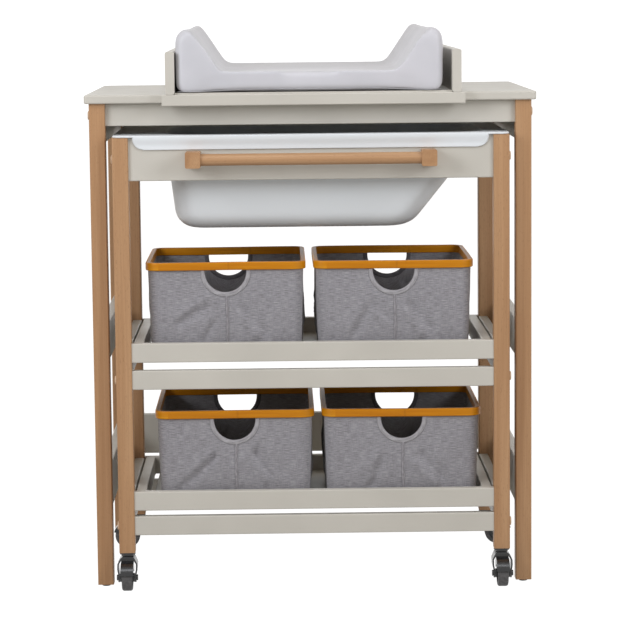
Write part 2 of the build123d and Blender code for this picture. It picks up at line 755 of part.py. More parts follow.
def make_tub():
    """Thin-walled moulded tub with a sloping back, rim, hanging lips and a drain hole."""
    shell = tub_basin(tub_floor_z, tub_rim_top, 0) + tub_rim()
    for end in ENDS.values():
        shell += tub_lip(end)
    shell -= tub_basin(tub_floor_z + tub_wall, tub_rim_top + cut_overrun, tub_wall)
    drain = round_bar((-drain_x, trolley_middle_y, tub_floor_z - cut_overrun), (0, 0, 1),
                      drain_diameter, tub_wall + 2 * cut_overrun)
    shell -= drain
    top = shell.faces().filter_by(Axis.Z).sort_by(Axis.Z)[-1]
    return fillet(top.inner_wires()[0].edges(), tub_mouth_radius)


def make_plug():
    """Stopper with a flange on the tub floor and a knob to pull it by."""
    floor = tub_floor_z + tub_wall
    body = round_bar((-drain_x, trolley_middle_y, tub_floor_z), (0, 0, 1),
                     drain_diameter - 2 * rest_gap, tub_wall + rest_gap)
    flange = round_bar((-drain_x, trolley_middle_y, floor + rest_gap), (0, 0, 1),
                       plug_flange_diameter, plug_flange_height)
    knob = round_bar((-drain_x, trolley_middle_y, floor + rest_gap + plug_flange_height), (0, 0, 1),
                     plug_knob_diameter, plug_knob_height)
    plug = body + flange + knob
    return fillet(plug.faces().sort_by(Axis.Z)[-1].edges(), plug_edge_radius)


# Baskets

def basket_places():
    """Name, x of the middle and z of the floor of each basket."""
    pitch = basket_rim_width + basket_gap
    places = {}
    for level, z_top, offset in (("upper", upper_shelf_top, upper_basket_offset),
                                 ("lower", lower_shelf_top, lower_basket_offset)):
        floor = z_top - shelf_rail_height + slat_thickness + rest_gap
        for side_name, side in SIDES.items():
            places[f"{level}_{side_name}"] = (offset + side * pitch / 2, floor)
    return places


basket_y = (trolley_y(FRONT, shelf_rail_setback + shelf_rail_thickness)
            + basket_front_gap + basket_rim_depth / 2)


def make_basket_fabric(x, floor):
    """Open fabric box that narrows towards its floor, with a hand hole under the rim, front and rear."""
    rim_low = floor + basket_height - basket_rim_height
    seat = basket_rim_outer + basket_groove_play

    def section(z, inset):
        share = (z - floor) / (rim_low - floor)
        draw = 2 * (seat + basket_taper * (1 - share) + inset)
        corner = basket_floor_corner + share * (basket_rim_corner - seat - basket_floor_corner) - inset
        outline = RectangleRounded(basket_rim_width - draw, basket_rim_depth - draw, corner)
        return Pos(x, basket_y, z) * outline

    top = floor + basket_height - basket_rim_cap - basket_hem_gap
    outer = loft([section(floor, 0), section(rim_low, 0)], ruled=True)
    outer += extrude(section(rim_low, 0), amount=top - rim_low)
    inner = loft([section(floor + basket_wall, basket_wall), section(rim_low, basket_wall)], ruled=True)
    inner += extrude(section(rim_low, basket_wall), amount=top + cut_overrun - rim_low)
    plane = Plane(origin=(x, basket_y - basket_rim_depth, rim_low), x_dir=(1, 0, 0), z_dir=(0, 1, 0))
    hole = Ellipse(hand_hole_width / 2, hand_hole_depth) & (
        Pos(0, hand_hole_depth / 2) * Rectangle(hand_hole_width, hand_hole_depth))
    return outer - inner - extrude(plane * hole, amount=2 * basket_rim_depth)


def rim_outline(inset):
    """Outline of the rim in plan, moved inwards."""
    return RectangleRounded(basket_rim_width - 2 * inset, basket_rim_depth - 2 * inset,
                            basket_rim_corner - inset)


def make_basket_rim(x, floor):
    """Bent rim with a groove from below that holds the upper edge of the fabric."""
    place = Pos(x, basket_y, floor + basket_height - basket_rim_height)
    ring = extrude(place * (rim_outline(0) - rim_outline(basket_rim_thickness)), amount=basket_rim_height)
    levels = ring.faces().filter_by(Axis.Z)
    outer_edges = [edge for face in levels for edge in face.outer_wire().edges()]
    ring = fillet(outer_edges, basket_rim_edge)
    top_face = ring.faces().filter_by(Axis.Z).sort_by(Axis.Z)[-1]
    ring = fillet(top_face.inner_wires()[0].edges(), basket_rim_inner_edge)
    groove = rim_outline(basket_rim_outer) - rim_outline(basket_rim_outer + basket_wall
                                                         + 2 * basket_groove_play)
    depth = basket_rim_height - basket_rim_cap
    return ring - extrude(Pos(0, 0, -cut_overrun) * place * groove, amount=depth + cut_overrun)


# All nodes

def make_nodes():
    """Every node of the model by name: one solid, or a list of separate solids."""
    nodes = {"table_top": make_table_top()}
    for end_name, end in ENDS.items():
        nodes[f"table_apron_{end_name}"] = make_table_apron(end)
        for side_name, side in SIDES.items():
            nodes[f"table_leg_{end_name}_{side_name}"] = make_table_leg(side, end)
    for side_name, side in SIDES.items():
        nodes[f"table_apron_{side_name}"] = make_table_side_member(
            side, apron_thickness, table_leg_top, side_apron_height)
        nodes[f"table_middle_rail_{side_name}"] = make_table_side_member(
            side, side_rail_thickness, middle_rail_top, middle_rail_height)
        nodes[f"table_low_rail_{side_name}"] = make_table_side_member(
            side, side_rail_thickness, low_rail_top, low_rail_height)
    nodes["table_rear_rail"] = make_table_rear_rail()
    nodes["table_bolts"] = make_table_bolts()
    nodes["table_glides"] = make_table_glides()

    nodes["tray_base"] = make_tray_base()
    nodes["tray_lip"] = make_tray_lip()
    nodes["tray_cleat"] = make_tray_cleat()
    for side_name, side in SIDES.items():
        nodes[f"tray_wall_{side_name}"] = make_tray_wall(side)
    nodes["changing_mat"] = make_mat()

    for end_name, end in ENDS.items():
        nodes[f"trolley_top_rail_{end_name}"] = make_trolley_cross_rail(
            end, top_rail_setback, top_rail_thickness, trolley_height, top_rail_height)
        for side_name, side in SIDES.items():
            nodes[f"trolley_leg_{end_name}_{side_name}"] = make_trolley_leg(side, end)
    nodes["trolley_top_side_rails"] = make_trolley_side_rails(
        top_side_rail_thickness, trolley_height, top_rail_height)
    nodes["trolley_bolts"] = make_trolley_bolts()
    for level, shelf_top, brace_top in (("upper", upper_shelf_top, upper_brace_top),
                                        ("lower", lower_shelf_top, lower_brace_top)):
        nodes[f"{level}_braces"] = make_trolley_braces(brace_top)
        nodes[f"{level}_side_rails"] = make_trolley_side_rails(
            shelf_side_rail_thickness, shelf_top, shelf_side_rail_height)
        nodes[f"{level}_shelf_frame"] = make_shelf_frame(shelf_top)
        nodes[f"{level}_shelf_slats"] = make_shelf_slats(shelf_top)
    nodes["handle_blocks"] = make_handle_blocks()
    nodes["handle_bar"] = make_handle_bar()

    mounts = []
    for corner in caster_turn:
        place = caster_place(corner)
        mounts.append(place * make_caster_mount())
        nodes[f"caster_fork_{corner}"] = [place * make_caster_fork(), place * make_caster_axle()]
        nodes[f"caster_wheel_{corner}"] = [place * solid for solid in make_caster_wheel()]
    nodes["caster_mounts"] = mounts

    nodes["bathtub"] = make_tub()
    nodes["drain_plug"] = make_plug()
    for corner, (x, floor) in basket_places().items():
        nodes[f"basket_fabric_{corner}"] = make_basket_fabric(x, floor)
        nodes[f"basket_rim_{corner}"] = make_basket_rim(x, floor)
    return nodes


def write_nodes():
    """Move each node so that the origin is under the middle of the object, and write its file."""
    to_middle = Pos(0, -model_middle_y, 0)
    for name, made in make_nodes().items():
        solids = made if isinstance(made, list) else [made]
        shape = to_middle * Compound([solid for piece in solids for solid in piece.solids()])
        export_step(shape, f"parts/{name}.step")
        box = shape.bounding_box()
        print(f"{name}: {len(shape.solids())} solids, volume {shape.volume:.0f}, "
              f"x {box.min.X:.1f} to {box.max.X:.1f}, y {box.min.Y:.1f} to {box.max.Y:.1f}, "
              f"z {box.min.Z:.1f} to {box.max.Z:.1f}")


write_nodes()
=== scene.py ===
import math

import bpy
import numpy as np
from mathutils import Matrix, Vector


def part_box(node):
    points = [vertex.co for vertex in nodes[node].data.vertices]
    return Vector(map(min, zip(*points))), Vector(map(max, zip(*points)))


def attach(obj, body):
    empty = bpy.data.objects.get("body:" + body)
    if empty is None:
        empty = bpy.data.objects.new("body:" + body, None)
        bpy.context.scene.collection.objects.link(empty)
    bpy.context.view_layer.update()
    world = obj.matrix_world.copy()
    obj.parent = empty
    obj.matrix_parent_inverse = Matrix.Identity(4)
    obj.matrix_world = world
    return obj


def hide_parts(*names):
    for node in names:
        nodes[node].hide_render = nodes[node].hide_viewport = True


# A changing table with a bathtub trolley parked under it.
# Lengths are in metres, +Z is up and the front faces -Y.

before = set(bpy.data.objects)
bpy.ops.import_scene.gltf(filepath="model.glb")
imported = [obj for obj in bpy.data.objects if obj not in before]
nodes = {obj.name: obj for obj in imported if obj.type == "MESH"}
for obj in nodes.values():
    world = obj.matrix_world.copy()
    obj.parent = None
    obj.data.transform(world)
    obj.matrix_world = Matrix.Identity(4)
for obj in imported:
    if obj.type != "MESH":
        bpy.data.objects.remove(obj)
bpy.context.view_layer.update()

MM = 0.001
BASKETS = ("upper_left", "upper_right", "lower_left", "lower_right")
SIDE_NAMES = {True: "front", False: "rear"}


# Colours as they look on a screen, turned to the linear values that a shader takes

def tone(red, green, blue):
    """Screen colour from 0 to 255 as a linear colour: each channel follows the screen curve."""
    shares = np.array([red, green, blue]) / 255.0
    linear = np.where(shares <= 0.04045, shares / 12.92, ((shares + 0.055) / 1.055) ** 2.4)
    return (*(float(value) for value in linear), 1.0)


# Meshes from grids of points

def set_mesh(name, points, faces, corner_uv=None):
    """New smooth-shaded object; each corner of a face may have a place in the pattern."""
    mesh = bpy.data.meshes.new(name)
    mesh.from_pydata(points, [], faces)
    mesh.polygons.foreach_set("use_smooth", np.ones(len(mesh.polygons), bool))
    if corner_uv is not None:
        layer = mesh.uv_layers.new(name="Pattern")
        layer.data.foreach_set("uv", corner_uv.astype(np.float32).ravel())
    mesh.update()
    piece = bpy.data.objects.new(name, mesh)
    bpy.context.scene.collection.objects.link(piece)
    return piece


def grid_surface(name, points, closed_u=True, closed_v=False, first_pole=None, last_pole=None,
                 uv=None):
    """Surface over a grid of points: neighbours along u and v are joined to four-sided faces.

    A closed direction joins its last line to its first. A pole closes the first or last line
    along v with one shared point. uv holds a pattern place for each grid corner, one line more
    along a closed u.
    """
    count_u, count_v = points.shape[:2]
    lines_u = np.arange(count_u if closed_u else count_u - 1)
    lines_v = np.arange(count_v if closed_v else count_v - 1)
    a, b = (part.ravel() for part in np.meshgrid(lines_u, lines_v, indexing="ij"))
    a_next, b_next = (a + 1) % count_u, (b + 1) % count_v
    quads = np.stack([a * count_v + b, a_next * count_v + b,
                      a_next * count_v + b_next, a * count_v + b_next], -1)
    faces, vertices = quads.tolist(), points.reshape(-1, 3)
    corner_uv = None
    if uv is not None:
        corners = [uv[a, b], uv[a + 1, b], uv[a + 1, b + 1], uv[a, b + 1]]
        corner_uv = np.stack(corners, 1).reshape(-1, 2)
    for pole, line, turn in ((first_pole, 0, -1), (last_pole, count_v - 1, 1)):
        if pole is None:
            continue
        tip = len(vertices)
        vertices = np.vstack([vertices, np.array(pole)[None]])
        here = lines_u * count_v + line
        beyond = (lines_u + 1) % count_u * count_v + line
        faces += [[i, j, tip][::turn] for i, j in zip(here.tolist(), beyond.tolist())]
        if uv is not None:
            fan = np.stack([uv[lines_u, line], uv[lines_u + 1, line], uv[lines_u, line]], 1)
            corner_uv = np.vstack([corner_uv, fan[:, ::turn].reshape(-1, 2)])
    return set_mesh(name, vertices, faces, corner_uv)


def rectangle_columns(face_x, face_y, turn):
    """Columns round a rounded rectangle, counterclockwise from the left end of the front.

    Four rows: the place on the core rectangle from -1 to 1 both ways, the direction of the
    outward normal, and the face, 0 to 3 from the front, with a half more on the corner after it.
    """
    parts = []
    for quarter in range(4):
        face = face_y if quarter % 2 else face_x
        direction = math.radians(-90 + 90 * quarter)
        ones = np.ones(len(face))
        core = [(face, -ones), (ones, face), (-face, ones), (-ones, -face)][quarter]
        parts.append(np.stack([*core, direction * ones, quarter * ones], 1))
        x, y = [(1, -1), (1, 1), (-1, 1), (-1, -1)][quarter]
        ones = np.ones(len(turn))
        parts.append(np.stack([x * ones, y * ones, direction + turn, (quarter + 0.5) * ones], 1))
    return np.vstack(parts).T


def smooth_step(x, low, high):
    """0 below low, 1 above high, and three x squared less two x cubed between them."""
    share = np.clip((x - low) / (high - low), 0, 1)
    return share * share * (3 - 2 * share)


def lengths_along(points):
    """Distance along a polyline from its first point to each point."""
    steps = np.linalg.norm(np.diff(points, axis=0), axis=1)
    return np.concatenate([[0], np.cumsum(steps)])


def middle_of(node):
    """Middle of a CAD node's box."""
    low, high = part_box(node)
    return (low + high) / 2


# Shader nodes

def add_node(tree, kind, settings=None, **inputs):
    """New shader node: settings are its own properties, inputs are values or sockets to read."""
    node = tree.nodes.new(kind)
    for key, value in (settings or {}).items():
        setattr(node, key, value)
    for key, value in inputs.items():
        numbered = key[0] == "i" and key[1:].isdigit()
        socket = node.inputs[int(key[1:]) if numbered else key]
        if isinstance(value, bpy.types.NodeSocket):
            tree.links.new(value, socket)
        else:
            socket.default_value = value
    return node


def calculate(tree, operation, first, second=0.0):
    """Result of one sum on one or two values."""
    node = add_node(tree, "ShaderNodeMath", {"operation": operation}, i0=first, i1=second)
    return node.outputs[0]


def distance_from(tree, value, middle):
    """How far a value is from a middle value, either way."""
    return calculate(tree, "ABSOLUTE", calculate(tree, "SUBTRACT", value, middle))


def stretched(tree, vector, scale):
    """Pattern place scaled along each axis."""
    return add_node(tree, "ShaderNodeMapping", Vector=vector, Scale=scale).outputs[0]


def axes_of(tree, vector):
    """The three numbers of a place."""
    return add_node(tree, "ShaderNodeSeparateXYZ", Vector=vector).outputs


def noise(tree, vector, scale, detail=3.0, roughness=0.5, distortion=0.0):
    """Fractal noise from 0 to 1."""
    return add_node(tree, "ShaderNodeTexNoise", Vector=vector, Scale=scale, Detail=detail,
                    Roughness=roughness, Distortion=distortion).outputs[0]


def ramp(tree, value, stops):
    """Colour that changes with a value, from a rising list of (place, colour)."""
    node = add_node(tree, "ShaderNodeValToRGB", Fac=value)
    for _ in stops[2:]:
        node.color_ramp.elements.new(0.5)
    for element, (place, colour) in zip(node.color_ramp.elements, stops):
        element.position, element.color = place, colour
    return node.outputs[0]


def grade(tree, value, low, high, new_low, new_high):
    """Value carried from one range to another and held at its ends."""
    return add_node(tree, "ShaderNodeMapRange", i0=value, i1=low, i2=high,
                    i3=new_low, i4=new_high).outputs[0]


def blend_colours(tree, share, first, second, way="MIX"):
    """Two colours mixed by a share from 0 to 1."""
    settings = {"data_type": "RGBA", "blend_type": way}
    return add_node(tree, "ShaderNodeMix", settings, i0=share, i6=first, i7=second).outputs[2]


def new_material(name):
    """Node material and its tree."""
    material = bpy.data.materials.new(name)
    material.use_nodes = True
    return material, material.node_tree


def patterned_material(name, which="Object"):
    """New material, its tree and the place its pattern reads: in the frame, or the piece's UV."""
    material, tree = new_material(name)
    return material, tree, add_node(tree, "ShaderNodeTexCoord").outputs[which]


def finish_material(material, colour, rough, height, strength, distance, **constants):
    """Joins colour, roughness and relief to the main shader and sets its constant values."""
    tree = material.node_tree
    shader = tree.nodes["Principled BSDF"]
    for key, value in (("Base Color", colour), ("Roughness", rough)):
        if isinstance(value, bpy.types.NodeSocket):
            tree.links.new(value, shader.inputs[key])
        else:
            shader.inputs[key].default_value = value
    bump = add_node(tree, "ShaderNodeBump", Height=height, Strength=strength, Distance=distance)
    tree.links.new(bump.outputs[0], shader.inputs["Normal"])
    for key, value in constants.items():
        shader.inputs[key.replace("_", " ")].default_value = value
    return material


# Finishes. Noise scales count in cycles per metre, ramps and grades in shares of the noise.

TYRE_SEAT = 17.5 * MM
TYRE_EDGE = 0.2 * MM
THREAD = 0.9 * MM
STITCH = 3.2 * MM
STITCH_ROW = (0.3 * MM, 0.6 * MM)
BAMBOO_JOINT_STEP = 262.0 * MM
RIM_TOP_FROM = 17.5 * MM
RIM_TOP_TO = 25.5 * MM
RIM_TOP_EDGE = 0.8 * MM


def painted_board(name):
    """Satin lacquer on board: warm off-white, faintly cloudy, with a sprayed film's orange peel."""
    material, tree, place = patterned_material(name)
    cloud = noise(tree, place, 7, 2)
    peel = noise(tree, place, 420, 2, 0.4)
    colour = ramp(tree, cloud, [(0.3, tone(191, 188, 180)), (0.7, tone(199, 196, 188))])
    rough = grade(tree, noise(tree, place, 30), 0.3, 0.7, 0.38, 0.5)
    return finish_material(material, colour, rough, peel, 0.12, 0.0003,
                           Coat_Weight=0.08, Coat_Roughness=0.3)


def beech(name, along):
    """Oiled beech, grain along one axis: soft growth bands, fine lines and short dark flecks."""
    material, tree, place = patterned_material(name)

    def run(across, lengthwise):
        """Place with one scale along the grain and another across it."""
        scale = [across] * 3
        scale["xyz".index(along)] = lengthwise
        return stretched(tree, place, scale)

    bands = noise(tree, run(34, 1.6), 1.0, 3, 0.55, 0.6)
    lines = noise(tree, run(420, 6), 1.0, 3, 0.6, 0.3)
    flecks = noise(tree, run(900, 130), 1.0, 1, 0.5)
    plain = ramp(tree, bands, [(0.25, tone(157, 116, 79)), (0.5, tone(175, 135, 97)),
                               (0.78, tone(190, 152, 114))])
    line_share = grade(tree, lines, 0.35, 0.65, 0.0, 0.3)
    lined = blend_colours(tree, line_share, plain, tone(144, 101, 63))
    fleck_share = grade(tree, flecks, 0.64, 0.74, 0.0, 0.42)
    colour = blend_colours(tree, fleck_share, lined, tone(118, 80, 50))
    rough = grade(tree, lines, 0.3, 0.7, 0.46, 0.6)
    return finish_material(material, colour, rough, lines, 0.25, 0.0002,
                           Coat_Weight=0.05, Coat_Roughness=0.35)


def tub_plastic(name):
    """Moulded white plastic: even colour, soft gloss and a very slight ripple."""
    material, tree, place = patterned_material(name)
    colour = ramp(tree, noise(tree, place, 3, 1),
                  [(0.3, tone(221, 227, 232)), (0.7, tone(226, 231, 236))])
    rough = grade(tree, noise(tree, place, 4), 0.3, 0.7, 0.3, 0.36)
    return finish_material(material, colour, rough, noise(tree, place, 3, 0), 0.04, 0.0006)


def plain_plastic(name, colour, rough):
    """Moulded plastic with a fine eroded grain, a quarter lighter in places."""
    material, tree, place = patterned_material(name)
    lighter = tuple(min(1.0, value * 1.25 + 0.004) for value in colour[:3]) + (1.0,)
    mixed = ramp(tree, noise(tree, place, 40), [(0.3, colour), (0.75, lighter)])
    rough_map = grade(tree, noise(tree, place, 90), 0.3, 0.7, rough - 0.05, rough + 0.08)
    return finish_material(material, mixed, rough_map, noise(tree, place, 600, 2), 0.15, 0.0002)


def caster_black(name):
    """Black lacquer on pressed steel: deep, glossy and slightly uneven, with dust in the shine."""
    material, tree, place = patterned_material(name)
    colour = ramp(tree, noise(tree, place, 60), [(0.3, tone(15, 15, 16)), (0.7, tone(27, 27, 28))])
    rough = grade(tree, noise(tree, place, 130, 4), 0.3, 0.75, 0.16, 0.3)
    return finish_material(material, colour, rough, noise(tree, place, 200), 0.05, 0.0003,
                           Specular_IOR_Level=0.4, Coat_Weight=0.3, Coat_Roughness=0.08)


def basket_cloth(name):
    """Grey melange canvas: threads over and under each other, streaked lighter and darker."""
    material, tree, place = patterned_material(name, "UV")
    weft = noise(tree, stretched(tree, place, (70, 1100, 1)), 1.0, 3, 0.65)
    warp = noise(tree, stretched(tree, place, (1100, 60, 1)), 1.0, 3, 0.65)
    over = add_node(tree, "ShaderNodeTexChecker", Vector=place, Scale=1 / THREAD).outputs["Fac"]
    streaks = calculate(tree, "ADD", calculate(tree, "MULTIPLY", weft, 0.78),
                        calculate(tree, "MULTIPLY", warp, 0.22))
    slubs = noise(tree, stretched(tree, place, (28, 420, 1)), 1.0, 2)
    plain = ramp(tree, streaks, [(0.36, tone(117, 115, 121)), (0.5, tone(148, 147, 153)),
                                 (0.66, tone(180, 179, 186))])
    slubbed = blend_colours(tree, grade(tree, slubs, 0.62, 0.8, 0.0, 0.5), plain,
                            tone(112, 109, 113))
    shade = ramp(tree, noise(tree, place, 9, 2),
                 [(0.3, (0.93, 0.93, 0.93, 1.0)), (0.7, (1.0, 1.0, 1.0, 1.0))])
    colour = blend_colours(tree, 1.0, slubbed, shade, "MULTIPLY")
    height = calculate(tree, "ADD", calculate(tree, "MULTIPLY", over, 0.5), streaks)
    return finish_material(material, colour, 0.88, height, 0.5, 0.0005,
                           Sheen_Weight=0.25, Sheen_Roughness=0.5)


def bamboo(name):
    """Lacquered bamboo strip: fine fibres, a joint every two hands' breadths, layers on top."""
    material, tree, place = patterned_material(name, "UV")
    fibres = noise(tree, stretched(tree, place, (9, 900, 1)), 1.0, 4, 0.6)
    patches = noise(tree, stretched(tree, place, (5, 30, 1)), 1.0, 2, 0.5)
    layers = noise(tree, stretched(tree, place, (30, 3400, 1)), 1.0, 2, 0.5)
    along, around = axes_of(tree, place)[:2]
    joint_place = calculate(tree, "FRACT",
                            calculate(tree, "MULTIPLY", along, 1 / BAMBOO_JOINT_STEP))
    joint = grade(tree, distance_from(tree, joint_place, 0.5), 0.0, 0.011, 1.0, 0.0)
    plain = ramp(tree, patches, [(0.3, tone(190, 116, 8)), (0.5, tone(206, 134, 14)),
                                 (0.7, tone(219, 152, 30))])
    fibred = blend_colours(tree, grade(tree, fibres, 0.4, 0.66, 0.0, 0.45), plain,
                           tone(156, 90, 6))
    jointed = blend_colours(tree, calculate(tree, "MULTIPLY", joint, 0.22), fibred,
                            tone(120, 64, 12))
    edge = ramp(tree, layers, [(0.35, tone(128, 86, 52)), (0.6, tone(172, 128, 92))])
    on_top = calculate(
        tree, "MULTIPLY",
        grade(tree, around, RIM_TOP_FROM, RIM_TOP_FROM + RIM_TOP_EDGE, 0.0, 1.0),
        grade(tree, around, RIM_TOP_TO - RIM_TOP_EDGE, RIM_TOP_TO, 1.0, 0.0))
    colour = blend_colours(tree, calculate(tree, "MULTIPLY", on_top, 0.8), jointed, edge)
    height = calculate(tree, "ADD", fibres, calculate(tree, "MULTIPLY", joint, -0.3))
    return finish_material(material, colour, 0.42, height, 0.3, 0.0003, Specular_IOR_Level=0.2,
                           Coat_Weight=0.06, Coat_Roughness=0.2)


def basket_tape(name, stitched_at, width, dark, light):
    """Folded tape of the same canvas: painted shade darkens its edges, and one row of stitches runs
    along it.
    """
    material, tree, place = patterned_material(name, "UV")
    across, along = axes_of(tree, place)[:2]
    streaks = noise(tree, stretched(tree, place, (1000, 90, 1)), 1.0, 3, 0.6)
    plain = ramp(tree, streaks, [(0.36, dark), (0.64, light)])
    # Painted shade: towards both edges the colour darkens to a dark grey, standing in for the shade
    # in the fold's crease.
    edge = grade(tree, distance_from(tree, across, width / 2),
                 width * 0.36, width * 0.5, 0.0, 0.75)
    shade_edged = blend_colours(tree, edge, plain, tone(72, 70, 75))
    row = grade(tree, distance_from(tree, across, stitched_at), *STITCH_ROW, 1.0, 0.0)
    step = calculate(tree, "FRACT", calculate(tree, "MULTIPLY", along, 1 / STITCH))
    stitch = calculate(tree, "MULTIPLY", row, grade(tree, step, 0.7, 0.76, 1.0, 0.25))
    colour = blend_colours(tree, calculate(tree, "MULTIPLY", stitch, 0.7), shade_edged,
                           tone(92, 89, 92))
    height = calculate(tree, "SUBTRACT", streaks, calculate(tree, "MULTIPLY", row, 0.8))
    return finish_material(material, colour, 0.88, height, 0.4, 0.0005,
                           Sheen_Weight=0.2, Sheen_Roughness=0.5)


def mat_cover(name):
    """Wipeable coated cloth: soft white with a fine embossed grain and a dull shine."""
    material, tree, place = patterned_material(name)
    grain = noise(tree, place, 1300, 2, 0.5)
    colour = ramp(tree, noise(tree, place, 12, 2),
                  [(0.3, tone(195, 196, 203)), (0.7, tone(203, 203, 210))])
    rough = grade(tree, noise(tree, place, 80), 0.3, 0.7, 0.42, 0.54)
    return finish_material(material, colour, rough, grain, 0.18, 0.0003,
                           Sheen_Weight=0.1, Sheen_Roughness=0.4)


def wheel_finish(name, axle, wheel):
    """Grey tyre outside a radius about the axle, black wheel centre inside it, both dusty.

    The wheels of one pair stand at the same distance on both sides of the middle plane.
    """
    material, tree, place = patterned_material(name)
    centre = middle_of(wheel)
    axes = axes_of(tree, place)
    across = 1 if axle == "x" else 0
    side = calculate(tree, "SUBTRACT", calculate(tree, "ABSOLUTE", axes[across]),
                     abs(centre[across]))
    rise = calculate(tree, "SUBTRACT", axes[2], centre[2])
    radius = calculate(tree, "SQRT", calculate(tree, "ADD",
                                               calculate(tree, "MULTIPLY", side, side),
                                               calculate(tree, "MULTIPLY", rise, rise)))
    is_tyre = grade(tree, radius, TYRE_SEAT - TYRE_EDGE, TYRE_SEAT + TYRE_EDGE, 0.0, 1.0)
    dust = noise(tree, place, 180, 3)
    tyre = ramp(tree, dust, [(0.3, tone(64, 63, 64)), (0.7, tone(88, 87, 88))])
    hub = ramp(tree, dust, [(0.3, tone(20, 20, 21)), (0.7, tone(34, 34, 35))])
    colour = blend_colours(tree, is_tyre, hub, tyre)
    rough = grade(tree, is_tyre, 0.0, 1.0, 0.34, 0.62)
    return finish_material(material, colour, rough, noise(tree, place, 500), 0.2, 0.0003)


MATERIALS = {name: make(name, *values) for name, make, *values in (
    ("painted_board", painted_board),
    ("beech_upright", beech, "z"),
    ("beech_cross", beech, "x"),
    ("beech_depth", beech, "y"),
    ("tub_plastic", tub_plastic),
    ("plug_plastic", plain_plastic, tone(150, 152, 154), 0.45),
    ("glides", plain_plastic, tone(26, 26, 26), 0.5),
    ("bolt_caps", plain_plastic, tone(190, 162, 134), 0.5),
    ("caster_black", caster_black),
    ("front_wheel", wheel_finish, "x", "caster_wheel_front_left"),
    ("rear_wheel", wheel_finish, "y", "caster_wheel_rear_left"),
    ("basket_cloth", basket_cloth),
    ("binding_tape", basket_tape, 2.4 * MM, 10 * MM, tone(136, 134, 139), tone(172, 171, 176)),
    ("seam_tape", basket_tape, 4.5 * MM, 9 * MM, tone(124, 122, 127), tone(160, 158, 164)),
    ("bamboo", bamboo),
    ("mat_cover", mat_cover),
)}

# The start of a CAD node's name and its finish; every other node is painted board
NODE_FINISHES = (
    ("table_leg", "beech_upright"), ("trolley_leg", "beech_upright"),
    ("handle_bar", "beech_cross"), ("handle_blocks", "beech_depth"),
    ("caster_wheel_front", "front_wheel"), ("caster_wheel_rear", "rear_wheel"),
    ("caster", "caster_black"), ("bathtub", "tub_plastic"), ("drain_plug", "plug_plastic"),
    ("table_glides", "glides"), ("table_bolts", "bolt_caps"), ("trolley_bolts", "bolt_caps"),
    ("basket_fabric", "basket_cloth"), ("basket_rim", "bamboo"), ("changing_mat", "mat_cover"),
)


def dress_nodes():
    """Every CAD node gets the finish of the first name that its own starts with."""
    for name, node in nodes.items():
        found = [finish for start, finish in NODE_FINISHES if name.startswith(start)]
        node.data.materials.clear()
        node.data.materials.append(MATERIALS[(found + ["painted_board"])[0]])


def dressed(piece, finish, body):
    """A new piece gets its finish in a material slot, and the body it moves with."""
    piece.data.materials.append(MATERIALS[finish])
    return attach(piece, body)


# Baskets: a cloth box on a rounded rectangle, its edge held in a rim of two bent bamboo strips.
# Sizes across the wall count from the cloth's outer face.

STRIP_OUTER = 5.1 * MM
STRIP_INNER = 1.8 * MM
STRIP_CAP = 2.0 * MM
STRIP_ROUND = 2.2 * MM
STRIP_INNER_ROUND = 0.8 * MM
STRIP_SHORT = 4.0 * MM
GROOVE_PLAY = 0.1 * MM
RIM_CORNER = 26.0 * MM
RIM_LAP_PLACE = 0.62
RIM_LAP_RISE = 0.6 * MM
RIM_JOINT_RISE = 0.25 * MM
RIM_JOINT_WIDTH = 4.0 * MM
RIM_SWAY = 0.3 * MM
CORE_RADIUS = RIM_CORNER - STRIP_OUTER
CLOTH_WALL = 2.5 * MM
CLOTH_TAPER = 5.0 * MM
CLOTH_BOW = 2.4 * MM
CLOTH_ROWS = 26
FLOOR_CORNER = 18.0 * MM
FLOOR_PATTERN = 150.0 * MM
HOLE_HALF_WIDTH = 40.0 * MM
HOLE_DEPTH = 39.0 * MM
HOLE_RAMP = 4.0 * MM
HEM_BELOW_RIM = 3.4 * MM
COLUMN_STEP = 5.0 * MM


